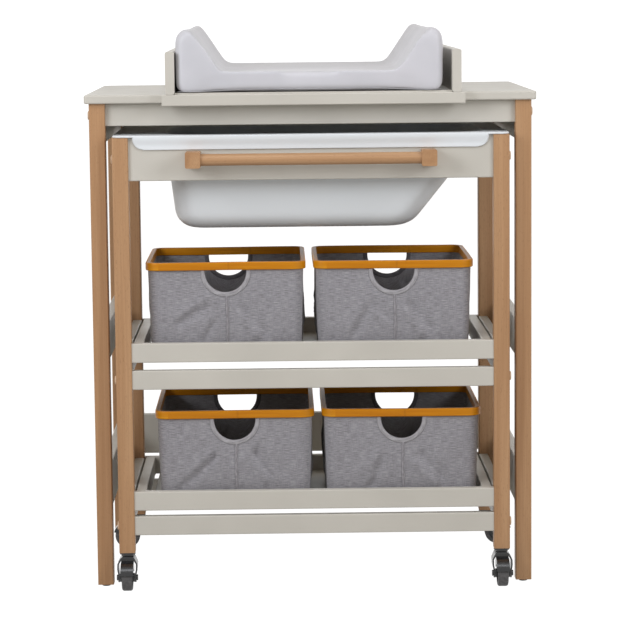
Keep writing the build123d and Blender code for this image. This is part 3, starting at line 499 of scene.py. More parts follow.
class BasketForm:
    """Outline, cloth and creases of one basket, from the boxes of its CAD rim and cloth."""

    def __init__(self, name, seed):
        low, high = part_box(f"basket_rim_{name}")
        self.name = name
        self.centre = (low + high) / 2
        self.half_x = (high.x - low.x) / 2 - STRIP_OUTER
        self.half_y = (high.y - low.y) / 2 - STRIP_OUTER
        self.rim_low, self.rim_top = low.z, high.z
        self.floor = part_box(f"basket_fabric_{name}")[0].z
        self.make_columns()
        self.make_creases(np.random.default_rng(seed))

    def make_columns(self):
        """Columns of the outline; those over a hand hole stand at sines of even angles."""
        flat_x, flat_y = self.half_x - CORE_RADIUS, self.half_y - CORE_RADIUS
        hole = HOLE_HALF_WIDTH * np.sin(np.radians(np.linspace(-90, 90, 33)))
        beside = np.arange(HOLE_HALF_WIDTH + HOLE_RAMP, flat_x, COLUMN_STEP)
        face_x = np.concatenate([[-flat_x], -beside[:0:-1], [-beside[0]], hole, beside,
                                 [flat_x]]) / flat_x
        face_y = np.linspace(-1, 1, int(2 * flat_y / COLUMN_STEP))
        turn = np.radians(np.linspace(0, 90, 9)[1:-1])
        self.core_x, self.core_y, self.direction, self.face = rectangle_columns(face_x, face_y,
                                                                                turn)
        line = self.outline(self.rim_low, 0)[:, 0, :2]
        self.along = lengths_along(np.vstack([line, line[:1]]))
        self.face_x = np.where(self.face == 0, self.core_x, -self.core_x) * flat_x
        self.face_y = np.where(self.face == 1, self.core_y, -self.core_y) * flat_y

    def taper(self, height):
        """How far the sides come in at a height, and the corner radius: straight up to the rim."""
        share = np.clip((height - self.floor) / (self.rim_low - self.floor), 0, 1)
        return CLOTH_TAPER * (1 - share), FLOOR_CORNER + share * (CORE_RADIUS - FLOOR_CORNER)

    def outline(self, heights, out, scale=1.0):
        """Points of all columns at one height or a grid of them, moved out along the normal.

        The core rectangle and the corner radius come from the height, and scale draws the whole
        outline towards the middle.
        """
        inset, radius = self.taper(heights)
        turn = self.direction[:, None]
        x = self.core_x[:, None] * (self.half_x - inset - radius) + (radius + out) * np.cos(turn)
        y = self.core_y[:, None] * (self.half_y - inset - radius) + (radius + out) * np.sin(turn)
        return np.stack(np.broadcast_arrays(self.centre.x + x * scale, self.centre.y + y * scale,
                                            heights), -1)

    def hem(self):
        """Height of the cloth's top edge at each column: in the rim, or the hole's half ellipse."""
        x = np.where(self.face % 2 == 0, np.abs(self.face_x), 1.0)
        curve = self.rim_low - HOLE_DEPTH * np.sqrt(np.clip(1 - (x / HOLE_HALF_WIDTH) ** 2, 0, 1))
        top = self.rim_top - HEM_BELOW_RIM
        share = np.clip((x - HOLE_HALF_WIDTH) / HOLE_RAMP, 0, 1)
        beyond = self.rim_low + (top - self.rim_low) * share
        return np.where(x <= HOLE_HALF_WIDTH, curve, beyond)

    def make_creases(self, draw):
        """Straight creases and long waves, drawn at random.

        A crease has its face, its start and end as shares of half width and height, and its
        width and depth. A wave has its cycles, lean, phase and size.
        """
        self.creases = []
        for face in range(4):
            for side in (-1, 1):
                start = np.array([side * draw.uniform(0.2, 0.34), draw.uniform(0.52, 0.62)])
                end = start + np.array([side * draw.uniform(0.2, 0.42), -draw.uniform(0.18, 0.34)])
                self.creases.append((face, start, end, draw.uniform(6, 9) * MM,
                                     draw.uniform(3.2, 4.8) * MM))
            for _ in range(5):
                start = np.array([draw.uniform(-0.9, 0.9), draw.uniform(0.1, 0.75)])
                end = start + np.array([draw.uniform(-0.3, 0.3), -draw.uniform(0.08, 0.3)])
                self.creases.append((face, start, end, draw.uniform(5, 8) * MM,
                                     draw.uniform(1.6, 2.8) * MM))
        self.waves = [(draw.uniform(6, 16), draw.uniform(-5, 5), draw.uniform(0, 2 * math.pi),
                       draw.uniform(0.3, 0.7) * MM) for _ in range(5)]

    def relief(self, along, face, face_place, half, height):
        """How far the cloth stands out of its flat faces.

        A slack bow, half a sine both ways; waves that are sines of the place; and for each crease
        a bell-shaped groove round its line, with a ridge on one side. All fade at the edges.
        """
        tall = self.rim_low - self.floor
        share = np.clip((height - self.floor) / tall, 0, 1)
        stand = np.sin(math.pi * share)
        total = CLOTH_BOW * stand * np.cos(math.pi / 2 * np.clip(face_place / half, -1, 1))
        for cycles, lean, phase, size in self.waves:
            wave = np.sin(2 * math.pi * (cycles * along + lean * height) + phase)
            total = total + size * stand * wave
        for on_face, start, end, width, depth in self.creases:
            step_x, step_z = (end[0] - start[0]) * half, (end[1] - start[1]) * tall
            x, z = face_place - start[0] * half, height - self.floor - start[1] * tall
            reached = np.clip((x * step_x + z * step_z) / (step_x ** 2 + step_z ** 2), 0, 1)
            distance = np.hypot(x - reached * step_x, z - reached * step_z)
            side = (x * step_z - z * step_x) / np.hypot(step_x, step_z)
            groove = -np.exp(-(distance / width) ** 2)
            ridge_at = (side - 1.7 * width) ** 2 + (distance ** 2 - side ** 2)
            crease = depth * (groove + 0.7 * np.exp(-(ridge_at / width ** 2)))
            total = total + np.where(face == on_face, crease * smooth_step(share, 0, 0.15), 0)
        edge = 1 - smooth_step(np.abs(face_place) / half, 0.9, 1.0)
        return total * edge * (1 - smooth_step(share, 0.93, 1.0))

    def wall(self, heights, out):
        """Points on the cloth, columns by rows: the outline, with the relief and out added."""
        wide = self.face % 2 == 0
        half = np.where(wide, self.half_x, self.half_y)[:, None] - CORE_RADIUS
        place = np.where(wide, self.face_x, self.face_y)[:, None]
        stand = self.relief(self.along[:-1, None], self.face[:, None], place, half, heights)
        return self.outline(heights, stand + out)

    def face_point(self, front, x, z, out):
        """Points on the cloth's front or rear face at x from its middle and height z."""
        inset = self.taper(z)[0]
        place = x if front else -x
        half = self.half_x - CORE_RADIUS
        along = half + place + (0 if front else self.along[-1] / 2)
        stand = self.relief(along, 0 if front else 2, place, half, z) + out
        y = (self.half_y - inset + stand) * (-1 if front else 1)
        return np.stack([self.centre.x + x * (self.half_x - inset) / self.half_x,
                         self.centre.y + y, z], -1)


def make_basket_cloth(form):
    """Closed cloth shell: outer floor, outer wall, a rounded hem, inner wall down, inner floor.

    The pattern's second axis runs up the outer wall, over the hem and down the inner wall.
    """
    hem = form.hem()[:, None]
    rise = np.linspace(0, 1, CLOTH_ROWS)[None]
    inner_floor = form.floor + CLOTH_WALL
    outer_heights = form.floor + rise * (hem - form.floor)
    inner_heights = inner_floor + rise[:, ::-1] * (hem - inner_floor)
    outer, inner = form.wall(outer_heights, 0.0), form.wall(inner_heights, -CLOTH_WALL)
    crest = form.wall(hem, -CLOTH_WALL / 2)
    crest[..., 2] += CLOTH_WALL / 3
    shares = np.array([0.25, 0.6, 0.93, 0.99])
    under = [form.outline(form.floor, 0, share) for share in shares]
    inside = [form.outline(inner_floor, -CLOTH_WALL, share) for share in shares[::-1]]
    points = np.concatenate([*under, outer, crest, inner, *inside], 1)
    spread = FLOOR_PATTERN * (1 - np.broadcast_to(shares, (len(hem), len(shares))))
    climb = np.concatenate([form.floor - spread, outer_heights, hem + 0.002,
                            2 * hem - inner_heights, 2 * hem - inner_floor + spread[:, ::-1]], 1)
    climb = np.vstack([climb, climb[:1]])
    uv = np.stack([np.broadcast_to(form.along[:, None], climb.shape), climb], -1)
    middle = (form.centre.x, form.centre.y)
    piece = grid_surface(f"cloth_{form.name}", points, first_pole=(*middle, form.floor),
                         last_pole=(*middle, inner_floor), uv=uv)
    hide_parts(f"basket_fabric_{form.name}")
    return dressed(piece, "basket_cloth", f"basket_{form.name}")


def rounded_corner(out, height, radius, start):
    """Quarter circle of points round a corner's centre, from a start angle in degrees."""
    turn = np.radians(start + np.linspace(0, 90, 5))
    return [(out + radius * math.cos(a), height + radius * math.sin(a)) for a in turn]


def rim_section(form):
    """Section of the rim: outer strip, cap over the cloth's edge, inner strip, and the groove."""
    low, top = form.rim_low + STRIP_SHORT, form.rim_top
    inner = -CLOTH_WALL - GROOVE_PLAY - STRIP_INNER
    outer_centre, inner_centre = STRIP_OUTER - STRIP_ROUND, inner + STRIP_INNER_ROUND
    section = rounded_corner(outer_centre, low + STRIP_ROUND, STRIP_ROUND, -90)
    section += [(STRIP_OUTER, low + (top - low) * share) for share in (0.35, 0.65)]
    section += rounded_corner(outer_centre, top - STRIP_ROUND, STRIP_ROUND, 0)
    section += rounded_corner(inner_centre, top - STRIP_INNER_ROUND, STRIP_INNER_ROUND, 90)
    section += [(inner, low + (top - low) * share) for share in (0.65, 0.35)]
    section += rounded_corner(inner_centre, low + STRIP_INNER_ROUND, STRIP_INNER_ROUND, 180)
    section += [(inner + STRIP_INNER, low), (inner + STRIP_INNER, top - STRIP_CAP),
                (GROOVE_PLAY, top - STRIP_CAP), (GROOVE_PLAY, low)]
    return np.array(section)


def make_basket_rim(form):
    """Bent bamboo rim: its section carried along the outline.

    The outer strip is thicker where its ends lap and, in a bell shape, at each joint. The whole
    rim sways up and down in three waves round the basket.
    """
    out, height = rim_section(form).T
    along, length = form.along[:-1], form.along[-1]
    past_lap = (along - RIM_LAP_PLACE * length) % length
    lap = RIM_LAP_RISE * (1 - smooth_step(past_lap, 0.03, 0.09))
    off_joint = ((along / BAMBOO_JOINT_STEP) % 1 - 0.5) * BAMBOO_JOINT_STEP
    joints = RIM_JOINT_RISE * np.exp(-(off_joint / RIM_JOINT_WIDTH) ** 2)
    sway = RIM_SWAY * np.sin(2 * math.pi * along / length * 3 + form.centre.x * 9)
    is_outer = out[None] > STRIP_OUTER / 2
    swell = -np.maximum(0, RIM_LAP_RISE - lap - joints)[:, None] * is_outer
    normal = np.stack([np.cos(form.direction), np.sin(form.direction)], -1)[:, None]
    flat = form.outline(form.rim_top, 0)[..., :2] + normal * (out[None] + swell)[..., None]
    rise = height[None] + sway[:, None] - RIM_SWAY
    section = np.stack([out, height], -1)
    around = lengths_along(np.vstack([section, section[:1]]))
    uv = np.stack(np.meshgrid(form.along, around, indexing="ij"), -1)
    piece = grid_surface(f"rim_{form.name}", np.concatenate([flat, rise[..., None]], -1),
                         closed_v=True, uv=uv)
    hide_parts(f"basket_rim_{form.name}")
    return dressed(piece, "bamboo", f"basket_{form.name}")


def make_tape(kind, form, front, points, across, along):
    """Tape from a grid of its section by its length, closed at both ends, with its pattern."""
    uv = np.stack(np.meshgrid(across, along, indexing="ij"), -1)
    piece = grid_surface(f"{kind}_{SIDE_NAMES[front]}_{form.name}", points,
                         first_pole=points[:, 0].mean(0), last_pole=points[:, -1].mean(0), uv=uv)
    return dressed(piece, f"{kind}_tape", f"basket_{form.name}")


BINDING_WIDTH = 7.6 * MM
BINDING_OVER = 1.2 * MM
BINDING_PROUD = 1.5 * MM
BINDING_LIFT = 4.0 * MM
SEAM_GAP = 6.5 * MM
SEAM_SWAY = 0.5 * MM
SEAM_SECTION = np.array([(-0.5, -1.2), (-0.3, 0.6), (0.3, 1.5), (1.5, 1.5), (3.2, 1.1),
                         (4.0, 0.6), (4.8, 1.1), (5.6, 1.0), (6.1, 0.5), (6.3, -1.2)]) * MM


def rounded_wave(wave, power):
    """A wave from -1 to 1 raised to a power below one, which squares its shape off."""
    return np.sign(wave) * np.abs(wave) ** power


def make_binding(form, front):
    """Tape folded over a hand hole's edge: a squared-off ellipse carried along the lower curve."""
    angle = np.radians(np.linspace(-90, 90, 49))
    turn = np.radians(np.arange(0, 360, 20))
    half, middle = (BINDING_WIDTH + BINDING_OVER) / 2, (BINDING_WIDTH - BINDING_OVER) / 2
    spread = half * rounded_wave(np.cos(turn), 0.45) + middle
    thick = (CLOTH_WALL + 2 * BINDING_PROUD) / 2
    stand = thick * rounded_wave(np.sin(turn), 0.6) - CLOTH_WALL / 2
    x = HOLE_HALF_WIDTH * np.sin(angle)
    z = form.rim_low - HOLE_DEPTH * np.cos(angle)
    slope = np.stack([np.sin(angle) / HOLE_HALF_WIDTH, -np.cos(angle) / HOLE_DEPTH], -1)
    slope /= np.linalg.norm(slope, axis=-1, keepdims=True)
    x_grid = x[:, None] + slope[:, :1] * spread[None]
    z_grid = z[:, None] + slope[:, 1:] * spread[None]
    x_grid = np.vstack([x_grid[:1], x_grid, x_grid[-1:]])
    z_grid = np.vstack([z_grid[:1] + BINDING_LIFT, z_grid, z_grid[-1:] + BINDING_LIFT])
    points = form.face_point(front, x_grid, z_grid, np.broadcast_to(stand[None], x_grid.shape))
    if front:
        points = points[::-1]
    return make_tape("binding", form, front, np.swapaxes(points, 0, 1),
                     np.linspace(0, 0.02, len(turn) + 1), np.linspace(0, 0.1, len(points) + 1)[:-1])


def make_seam(form, front):
    """Upright seam in the middle of a face: one flat fold, stitched down beside a sunk line."""
    z = np.linspace(form.floor + 2 * MM, form.rim_low - HOLE_DEPTH - SEAM_GAP, 40)
    x_grid, z_grid = np.meshgrid(SEAM_SECTION[:, 0], z, indexing="ij")
    sway = SEAM_SWAY * np.sin(z_grid * 60 + form.centre.x * 20)
    stand = np.broadcast_to(SEAM_SECTION[:, 1:], z_grid.shape)
    points = form.face_point(front, x_grid + sway, z_grid, stand)
    if not front:
        points = points[::-1]
    return make_tape("seam", form, front, points,
                     np.linspace(0, 0.009, len(SEAM_SECTION) + 1), z)


def make_baskets():
    """Four baskets, each of cloth, a bamboo rim, bindings and seams."""
    for index, name in enumerate(BASKETS):
        form = BasketForm(name, 40 + index)
        make_basket_cloth(form)
        make_basket_rim(form)
        for front in (True, False):
            make_binding(form, front)
            make_seam(form, front)


# Changing mat: a padded slab with a bolster along each side.
# Widths count inwards from the mat's sides, heights up from its sole.

MAT_SWELL_ROOM = 2.0 * MM
MAT_VOXEL = 6.0 * MM
MAT_PRESSURE = 2.0
MAT_STEPS = 20
MAT_MOVE_LIMIT = 2.0 * MM
MAT_SHOULDER = 18.0 * MM
MAT_SHOULDER_FALL = 12.0 * MM
MAT_RIDGE = 27.0 * MM
MAT_BOLSTER = 81.0 * MM
MAT_MIDDLE = 35.0 * MM
MAT_FOOT_GAP = 0.4 * MM
MAT_SOLE_RADIUS = 5.0 * MM
MAT_RADII = np.array([4, 10, 8, 9, 12, 60]) * MM
MAT_LINE_STEP = 4.0 * MM
MAT_END_DEEP = 12.0 * MM
MAT_END_PLACES = np.array([0, 0.25, 0.6, 1.0])
MAT_END_DRAW = np.array([1.0, 0.45, 0.13, 0.0]) * 9 * MM
MAT_RIDGE_RISE = 6.0 * MM
MAT_LIFT = 0.8 * MM
MAT_CORNER_SINK = 2.6 * MM
MAT_CORNER = (0.45, 0.85)
MAT_FRONT = -0.3
MAT_WELD_HEIGHT = 4.5 * MM
MAT_WELD_BEAD = 0.7 * MM
MAT_WELD_BAND = 2.5 * MM
MAT_WELD_POINTS = 720


def rounded_line(corners, radii, step):
    """Closed line in even steps, with a parabola from a radius before each corner to one after."""
    share = np.linspace(0, 1, 7)[:, None]
    parts = []
    for before, corner, after, radius in zip(np.roll(corners, 1, 0), corners,
                                             np.roll(corners, -1, 0), radii):
        start = corner + (before - corner) / np.linalg.norm(before - corner) * radius
        stop = corner + (after - corner) / np.linalg.norm(after - corner) * radius
        parts.append((1 - share) ** 2 * start + 2 * share * (1 - share) * corner
                     + share ** 2 * stop)
    line = np.vstack([*parts, parts[0][:1]])
    along = lengths_along(line)
    at = np.linspace(0, along[-1], int(along[-1] / step), endpoint=False)
    return np.stack([np.interp(at, along, line[:, axis]) for axis in range(2)], -1)


def make_mat_blank():
    """The mat before it is filled: its cross-section carried along Y, drawn in at both ends."""
    low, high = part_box("changing_mat")
    centre_x = (low.x + high.x) / 2
    half = (high.x - low.x) / 2 - MAT_SWELL_ROOM
    top = high.z - low.z - MAT_SWELL_ROOM
    middle = MAT_MIDDLE - 2 * MAT_SWELL_ROOM
    right = [(half, 0), (half, top - MAT_SHOULDER_FALL), (half - MAT_SHOULDER, top),
             (half - MAT_RIDGE, top), (half - MAT_BOLSTER + MAT_SWELL_ROOM, middle), (0, middle)]
    left = [(-x, z) for x, z in reversed(right[:-1])]
    line = rounded_line(np.array([(0, 0), *right, *left]),
                        [MAT_SOLE_RADIUS, *MAT_RADII, *MAT_RADII[-2::-1]], MAT_LINE_STEP)
    start, stop = low.y + MAT_SWELL_ROOM, high.y - MAT_SWELL_ROOM
    between = np.linspace(start, stop, 60)[2:-2]
    y = np.concatenate([start + MAT_END_PLACES * MAT_END_DEEP, between,
                        stop - MAT_END_PLACES[::-1] * MAT_END_DEEP])
    inset = np.concatenate([MAT_END_DRAW, np.zeros(len(between)), MAT_END_DRAW[::-1]])
    x = line[:, :1] * (1 - inset[None] / half)
    z = line[:, 1:] * (1 - inset[None] / top) + inset[None] * 0.1
    points = np.stack([centre_x + x, np.broadcast_to(y[None], x.shape),
                       low.z + MAT_FOOT_GAP + z], -1)
    mid = low.z + middle / 2
    return grid_surface("changing_mat_cover", points[:, ::-1], first_pole=(centre_x, stop, mid),
                        last_pole=(centre_x, start, mid))


def use_modifiers(piece):
    """Keeps the mesh that a piece's modifiers make, and removes the modifiers."""
    graph = bpy.context.evaluated_depsgraph_get()
    mesh = bpy.data.meshes.new_from_object(piece.evaluated_get(graph))
    piece.modifiers.clear()
    piece.data = mesh


def vertex_places(mesh):
    """Places of a mesh's vertices as an array."""
    places = np.empty(len(mesh.vertices) * 3, np.float32)
    mesh.vertices.foreach_get("co", places)
    return places.reshape(-1, 3).astype(float)


def set_vertex_places(mesh, places):
    """Puts the vertices of a mesh at new places."""
    mesh.vertices.foreach_set("co", places.astype(np.float32).ravel())
    mesh.update()


def add_smoothing(piece, rounds):
    """Each point moves half way to the middle of its neighbours, some rounds over."""
    smooth = piece.modifiers.new("Smooth", "SMOOTH")
    smooth.factor, smooth.iterations = 0.5, rounds


def fill_with_foam(piece):
    """Cloth under pressure from inside for twenty steps; no point moves beyond the limit."""
    before = vertex_places(piece.data)
    settings = piece.modifiers.new("Cloth", "CLOTH").settings
    for key, value in (("quality", 5), ("mass", 0.3), ("tension_stiffness", 12),
                       ("compression_stiffness", 12), ("bending_stiffness", 2),
                       ("use_pressure", True), ("uniform_pressure_force", MAT_PRESSURE),
                       ("shrink_min", -0.02)):
        setattr(settings, key, value)
    settings.effector_weights.gravity = 0
    scene = bpy.context.scene
    for step in range(MAT_STEPS):
        scene.frame_set(step + 1)
    use_modifiers(piece)
    scene.frame_set(1)
    move = vertex_places(piece.data) - before
    length = np.linalg.norm(move, axis=1, keepdims=True)
    move *= np.minimum(1, MAT_MOVE_LIMIT / np.maximum(length, 1e-9))
    set_vertex_places(piece.data, before + move)


def corner_share(off_middle, half):
    """0 in the middle of the mat's width, 1 at its sides, with a smooth step between them."""
    return smooth_step(np.abs(off_middle) / half, *MAT_CORNER)


def shape_mat_details(piece):
    """The mat is stretched so that its ridges stand a little above the CAD mat's box.

    Its sides are held inside the box, its foot is lifted off the tray, and the foot's front
    corners are sunk onto the tray's lip.
    """
    low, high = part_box("changing_mat")
    places = vertex_places(piece.data)
    foot, top = places[:, 2].min(), places[:, 2].max()
    places[:, 2] = low.z + (places[:, 2] - foot) * (high.z + MAT_RIDGE_RISE - low.z) / (top - foot)
    places[:, 0] = np.clip(places[:, 0], low.x, high.x)
    places[:, 1] = np.clip(places[:, 1], low.y, high.y)
    at_side = corner_share(places[:, 0] - (low.x + high.x) / 2, (high.x - low.x) / 2)
    at_corner = at_side * (1 - smooth_step(places[:, 1] - low.y, 4 * MM, 14 * MM))
    near_foot = 1 - smooth_step(places[:, 2] - low.z, 0, 25 * MM)
    places[:, 2] += (MAT_LIFT - (MAT_LIFT + MAT_CORNER_SINK) * at_corner) * near_foot
    set_vertex_places(piece.data, places)


def make_mat_weld(piece):
    """Welded edge of the cover: a thin bead round the mat just above the sole.

    Its line is the mat's own outline: the outermost of the points near the weld's height at each
    angle round the middle.
    """
    low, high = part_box("changing_mat")
    middle = np.array([(low.x + high.x) / 2, (low.y + high.y) / 2])
    places = vertex_places(piece.data)
    near = places[np.abs(places[:, 2] - low.z - MAT_WELD_HEIGHT) < MAT_WELD_BAND]
    flat = near[:, :2] - middle
    bins = np.linspace(-math.pi, math.pi, MAT_WELD_POINTS + 1)
    slot = np.clip(np.digitize(np.arctan2(flat[:, 1], flat[:, 0]), bins) - 1,
                   0, MAT_WELD_POINTS - 1)
    reach = np.zeros(MAT_WELD_POINTS)
    np.maximum.at(reach, slot, np.linalg.norm(flat, axis=1))
    filled = reach > 0
    at = (bins[:-1] + bins[1:]) / 2
    reach = np.interp(at, at[filled], reach[filled], period=2 * math.pi)
    line = np.stack([reach * np.cos(at), reach * np.sin(at)], -1)
    ahead = np.roll(line, -1, 0) - np.roll(line, 1, 0)
    normal = np.stack([ahead[:, 1], -ahead[:, 0]], -1)
    normal /= np.linalg.norm(ahead, axis=1, keepdims=True)
    turn = np.radians(np.arange(0, 360, 45))
    out = MAT_WELD_BEAD * np.cos(turn)[None, :, None]
    at_corner = corner_share(line[:, 0], (high.x - low.x) / 2) * (line[:, 1] < MAT_FRONT)
    height = low.z + MAT_WELD_HEIGHT + MAT_LIFT - (MAT_LIFT + MAT_CORNER_SINK) * at_corner
    rise = height[:, None] + 0.6 * MAT_WELD_BEAD * np.sin(turn)[None]
    points = np.concatenate([middle + line[:, None] + normal[:, None] * out, rise[..., None]], -1)
    bead = grid_surface("changing_mat_weld", points, closed_v=True)
    return dressed(bead, "mat_cover", "changing_mat")


def make_mat():
    """The mat: blank, even mesh, filling, one subdivision, its fit on the tray, and the weld."""
    piece = make_mat_blank()
    remesh = piece.modifiers.new("Remesh", "REMESH")
    remesh.mode = "VOXEL"
    remesh.voxel_size = MAT_VOXEL
    remesh.use_smooth_shade = True
    add_smoothing(piece, 10)
    use_modifiers(piece)
    fill_with_foam(piece)
    add_smoothing(piece, 6)
    use_modifiers(piece)
    divide = piece.modifiers.new("Subdivision", "SUBSURF")
    divide.levels = divide.render_levels = 1
    use_modifiers(piece)
    shape_mat_details(piece)
    make_mat_weld(piece)
    piece.data.polygons.foreach_set("use_smooth", np.ones(len(piece.data.polygons), bool))
    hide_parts("changing_mat")
    return dressed(piece, "mat_cover", "changing_mat")


# Bathtub: one moulded skin, and the two lips that hang from its rim.
# Reaches of the basin count from the middle plane at the top, and its drafts down to the floor.

TUB_WALL = 3.0 * MM
TUB_RIM = 4.0 * MM
TUB_RIM_CORNER = 14.0 * MM
TUB_HALF_DEPTH = 168.0 * MM
TUB_SIDE_DRAFT = 32.0 * MM
TUB_FOOT_TOP = 275.0 * MM
TUB_FOOT_DRAFT = 22.0 * MM
TUB_BACK_TOP = 331.0 * MM
TUB_BACK_RUN = 142.0 * MM
TUB_CORNER_TOP = 62.0 * MM
TUB_CORNER_FLOOR = 52.0 * MM
TUB_FLOOR_ROUND = 38.0 * MM
TUB_BACK_ROUND = 56.0 * MM
TUB_MOUTH_ROUND = 5.0 * MM
TUB_BEND_ROOM = 3.0 * MM
DRAIN_LEFT = 170.0 * MM
DRAIN_RADIUS = 17.0 * MM
LIP_DROP = 26.0 * MM
LIP_WALL = 2.8 * MM
LIP_CORNER = 20.0 * MM
LIP_SIDE_GAP = 8.0 * MM
LIP_FACE_GAP = 3.3 * MM
LIP_PROUD = 0.3 * MM
LIP_ROUND = 0.8 * MM
LIP_FOOT_SHORTER = 0.2 * MM
LIP_END_FROM = 0.985


def ring(columns, left, right, half, middle_y, radius, height):
    """Points of all columns on a rounded rectangle at one height."""
    core_x, core_y, direction = columns
    x = (left + right) / 2 + core_x * ((right - left) / 2 - radius) + radius * np.cos(direction)
    y = middle_y + core_y * (half - radius) + radius * np.sin(direction)
    return np.stack([x, y, np.full(len(x), height)], -1)


def wall_reach(rise, slope, foot, radius):
    """Reach of a sloping wall at a rise over its floor.

    The wall is straight, slope wide for each unit of rise, from the foot's reach at the floor. A
    circle that touches the floor and the wall takes their corner's place.
    """
    turned = math.acos(slope / math.hypot(1, slope))
    if rise < radius * (1 - math.cos(turned)):
        touch = foot - radius * math.tan(turned / 2)
        return touch + math.sqrt(radius ** 2 - (radius - rise) ** 2)
    return foot + slope * rise


def basin_ring(columns, box, height, inset):
    """Ring of the basin's skin at one height; inset is its distance inside the outer skin.

    The corner radius grows evenly with the height, and shrinks as the round foot draws in.
    """
    low, high = box
    depth = high.z - low.z
    rise = max(height - low.z - inset, 0.0)
    reaches = []
    for top, draft, radius in ((TUB_FOOT_TOP, TUB_FOOT_DRAFT, TUB_FLOOR_ROUND),
                               (TUB_BACK_TOP, TUB_BACK_RUN, TUB_BACK_ROUND),
                               (TUB_HALF_DEPTH, TUB_SIDE_DRAFT, TUB_FLOOR_ROUND)):
        slope = draft / depth
        foot = top - draft + inset * (slope - math.hypot(1, slope))
        reaches.append(wall_reach(rise, slope, foot, radius - inset))
    drawn_in = foot + slope * rise - reaches[2]
    share = (height - low.z) / depth
    radius = TUB_CORNER_FLOOR + share * (TUB_CORNER_TOP - TUB_CORNER_FLOOR)
    return ring(columns, -reaches[0], reaches[1], reaches[2], (low.y + high.y) / 2,
                radius - inset - drawn_in * 0.8, height)


def make_tub():
    """The skin is one closed loop of rings: outer floor and wall, rim, mouth, inner wall and floor.

    The floor's rings run from the drain's circle straight out to the floor's edge. The rim's edge
    is a half circle, and the mouth a quarter circle from the rim's top into the inner wall.
    """
    box = low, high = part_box("bathtub")
    face, turn = np.linspace(-1, 1, 33), np.radians(np.linspace(0, 90, 13)[1:-1])
    columns = rectangle_columns(face, face, turn)[:3]
    inwards = -np.stack([np.cos(columns[2]), np.sin(columns[2])], -1)
    middle_y = (low.y + high.y) / 2
    drain = np.array([-DRAIN_LEFT, middle_y])
    foot_rises = TUB_BACK_ROUND * (1 - np.cos(np.radians(np.linspace(0, 84, 15)[1:])))

    def floor_rings(inset):
        """Rings from the drain's circle out to the edge of the floor."""
        height = low.z + inset
        edge = basin_ring(columns, box, height, inset)[:, :2]
        towards = edge - drain
        circle = drain + towards / np.linalg.norm(towards, axis=1, keepdims=True) * DRAIN_RADIUS
        return [np.column_stack([circle + (edge - circle) * share, np.full(len(edge), height)])
                for share in (0.0, 0.08, 0.3, 0.55, 0.8, 1.0)]

    def wall_rings(inset, top):
        """Rings from just above the floor to the top of the wall."""
        floor = low.z + inset
        straight = np.linspace(foot_rises[-1], top - floor, 9)[1:]
        return [basin_ring(columns, box, floor + rise, inset)
                for rise in np.concatenate([foot_rises, straight])]

    rim_low = high.z - TUB_RIM
    rings = floor_rings(0.0) + wall_rings(0.0, rim_low - TUB_BEND_ROOM)
    under = basin_ring(columns, box, rim_low, 0.0)
    rim = ring(columns, low.x, high.x, (high.y - low.y) / 2, middle_y, TUB_RIM_CORNER, rim_low)
    rings += [under + (rim - under) * share for share in (0.04, 0.2, 0.6, 0.9)]
    half = TUB_RIM / 2
    for angle in np.radians(np.linspace(-90, 90, 9)):
        edge = rim.copy()
        edge[:, :2] += inwards * half * (1 - math.cos(angle))
        edge[:, 2] = rim_low + half + half * math.sin(angle)
        rings.append(edge)
    mouth = basin_ring(columns, box, high.z - TUB_MOUTH_ROUND, TUB_WALL)
    curve = []
    for angle in np.radians(np.linspace(0, 90, 7)):
        edge = mouth.copy()
        edge[:, :2] -= inwards * TUB_MOUTH_ROUND * (1 - math.sin(angle))
        edge[:, 2] = high.z - TUB_MOUTH_ROUND * (1 - math.cos(angle))
        curve.append(edge)
    outer_top = rings[-1]
    rings += [outer_top + (curve[0] - outer_top) * share for share in (0.1, 0.5, 0.9)] + curve
    rings += wall_rings(TUB_WALL, high.z - TUB_MOUTH_ROUND - TUB_BEND_ROOM)[::-1]
    rings += floor_rings(TUB_WALL)[::-1]
    piece = grid_surface("bathtub_skin", np.stack(rings, 1), closed_v=True)
    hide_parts("bathtub")
    return dressed(piece, "tub_plastic", "bathtub")


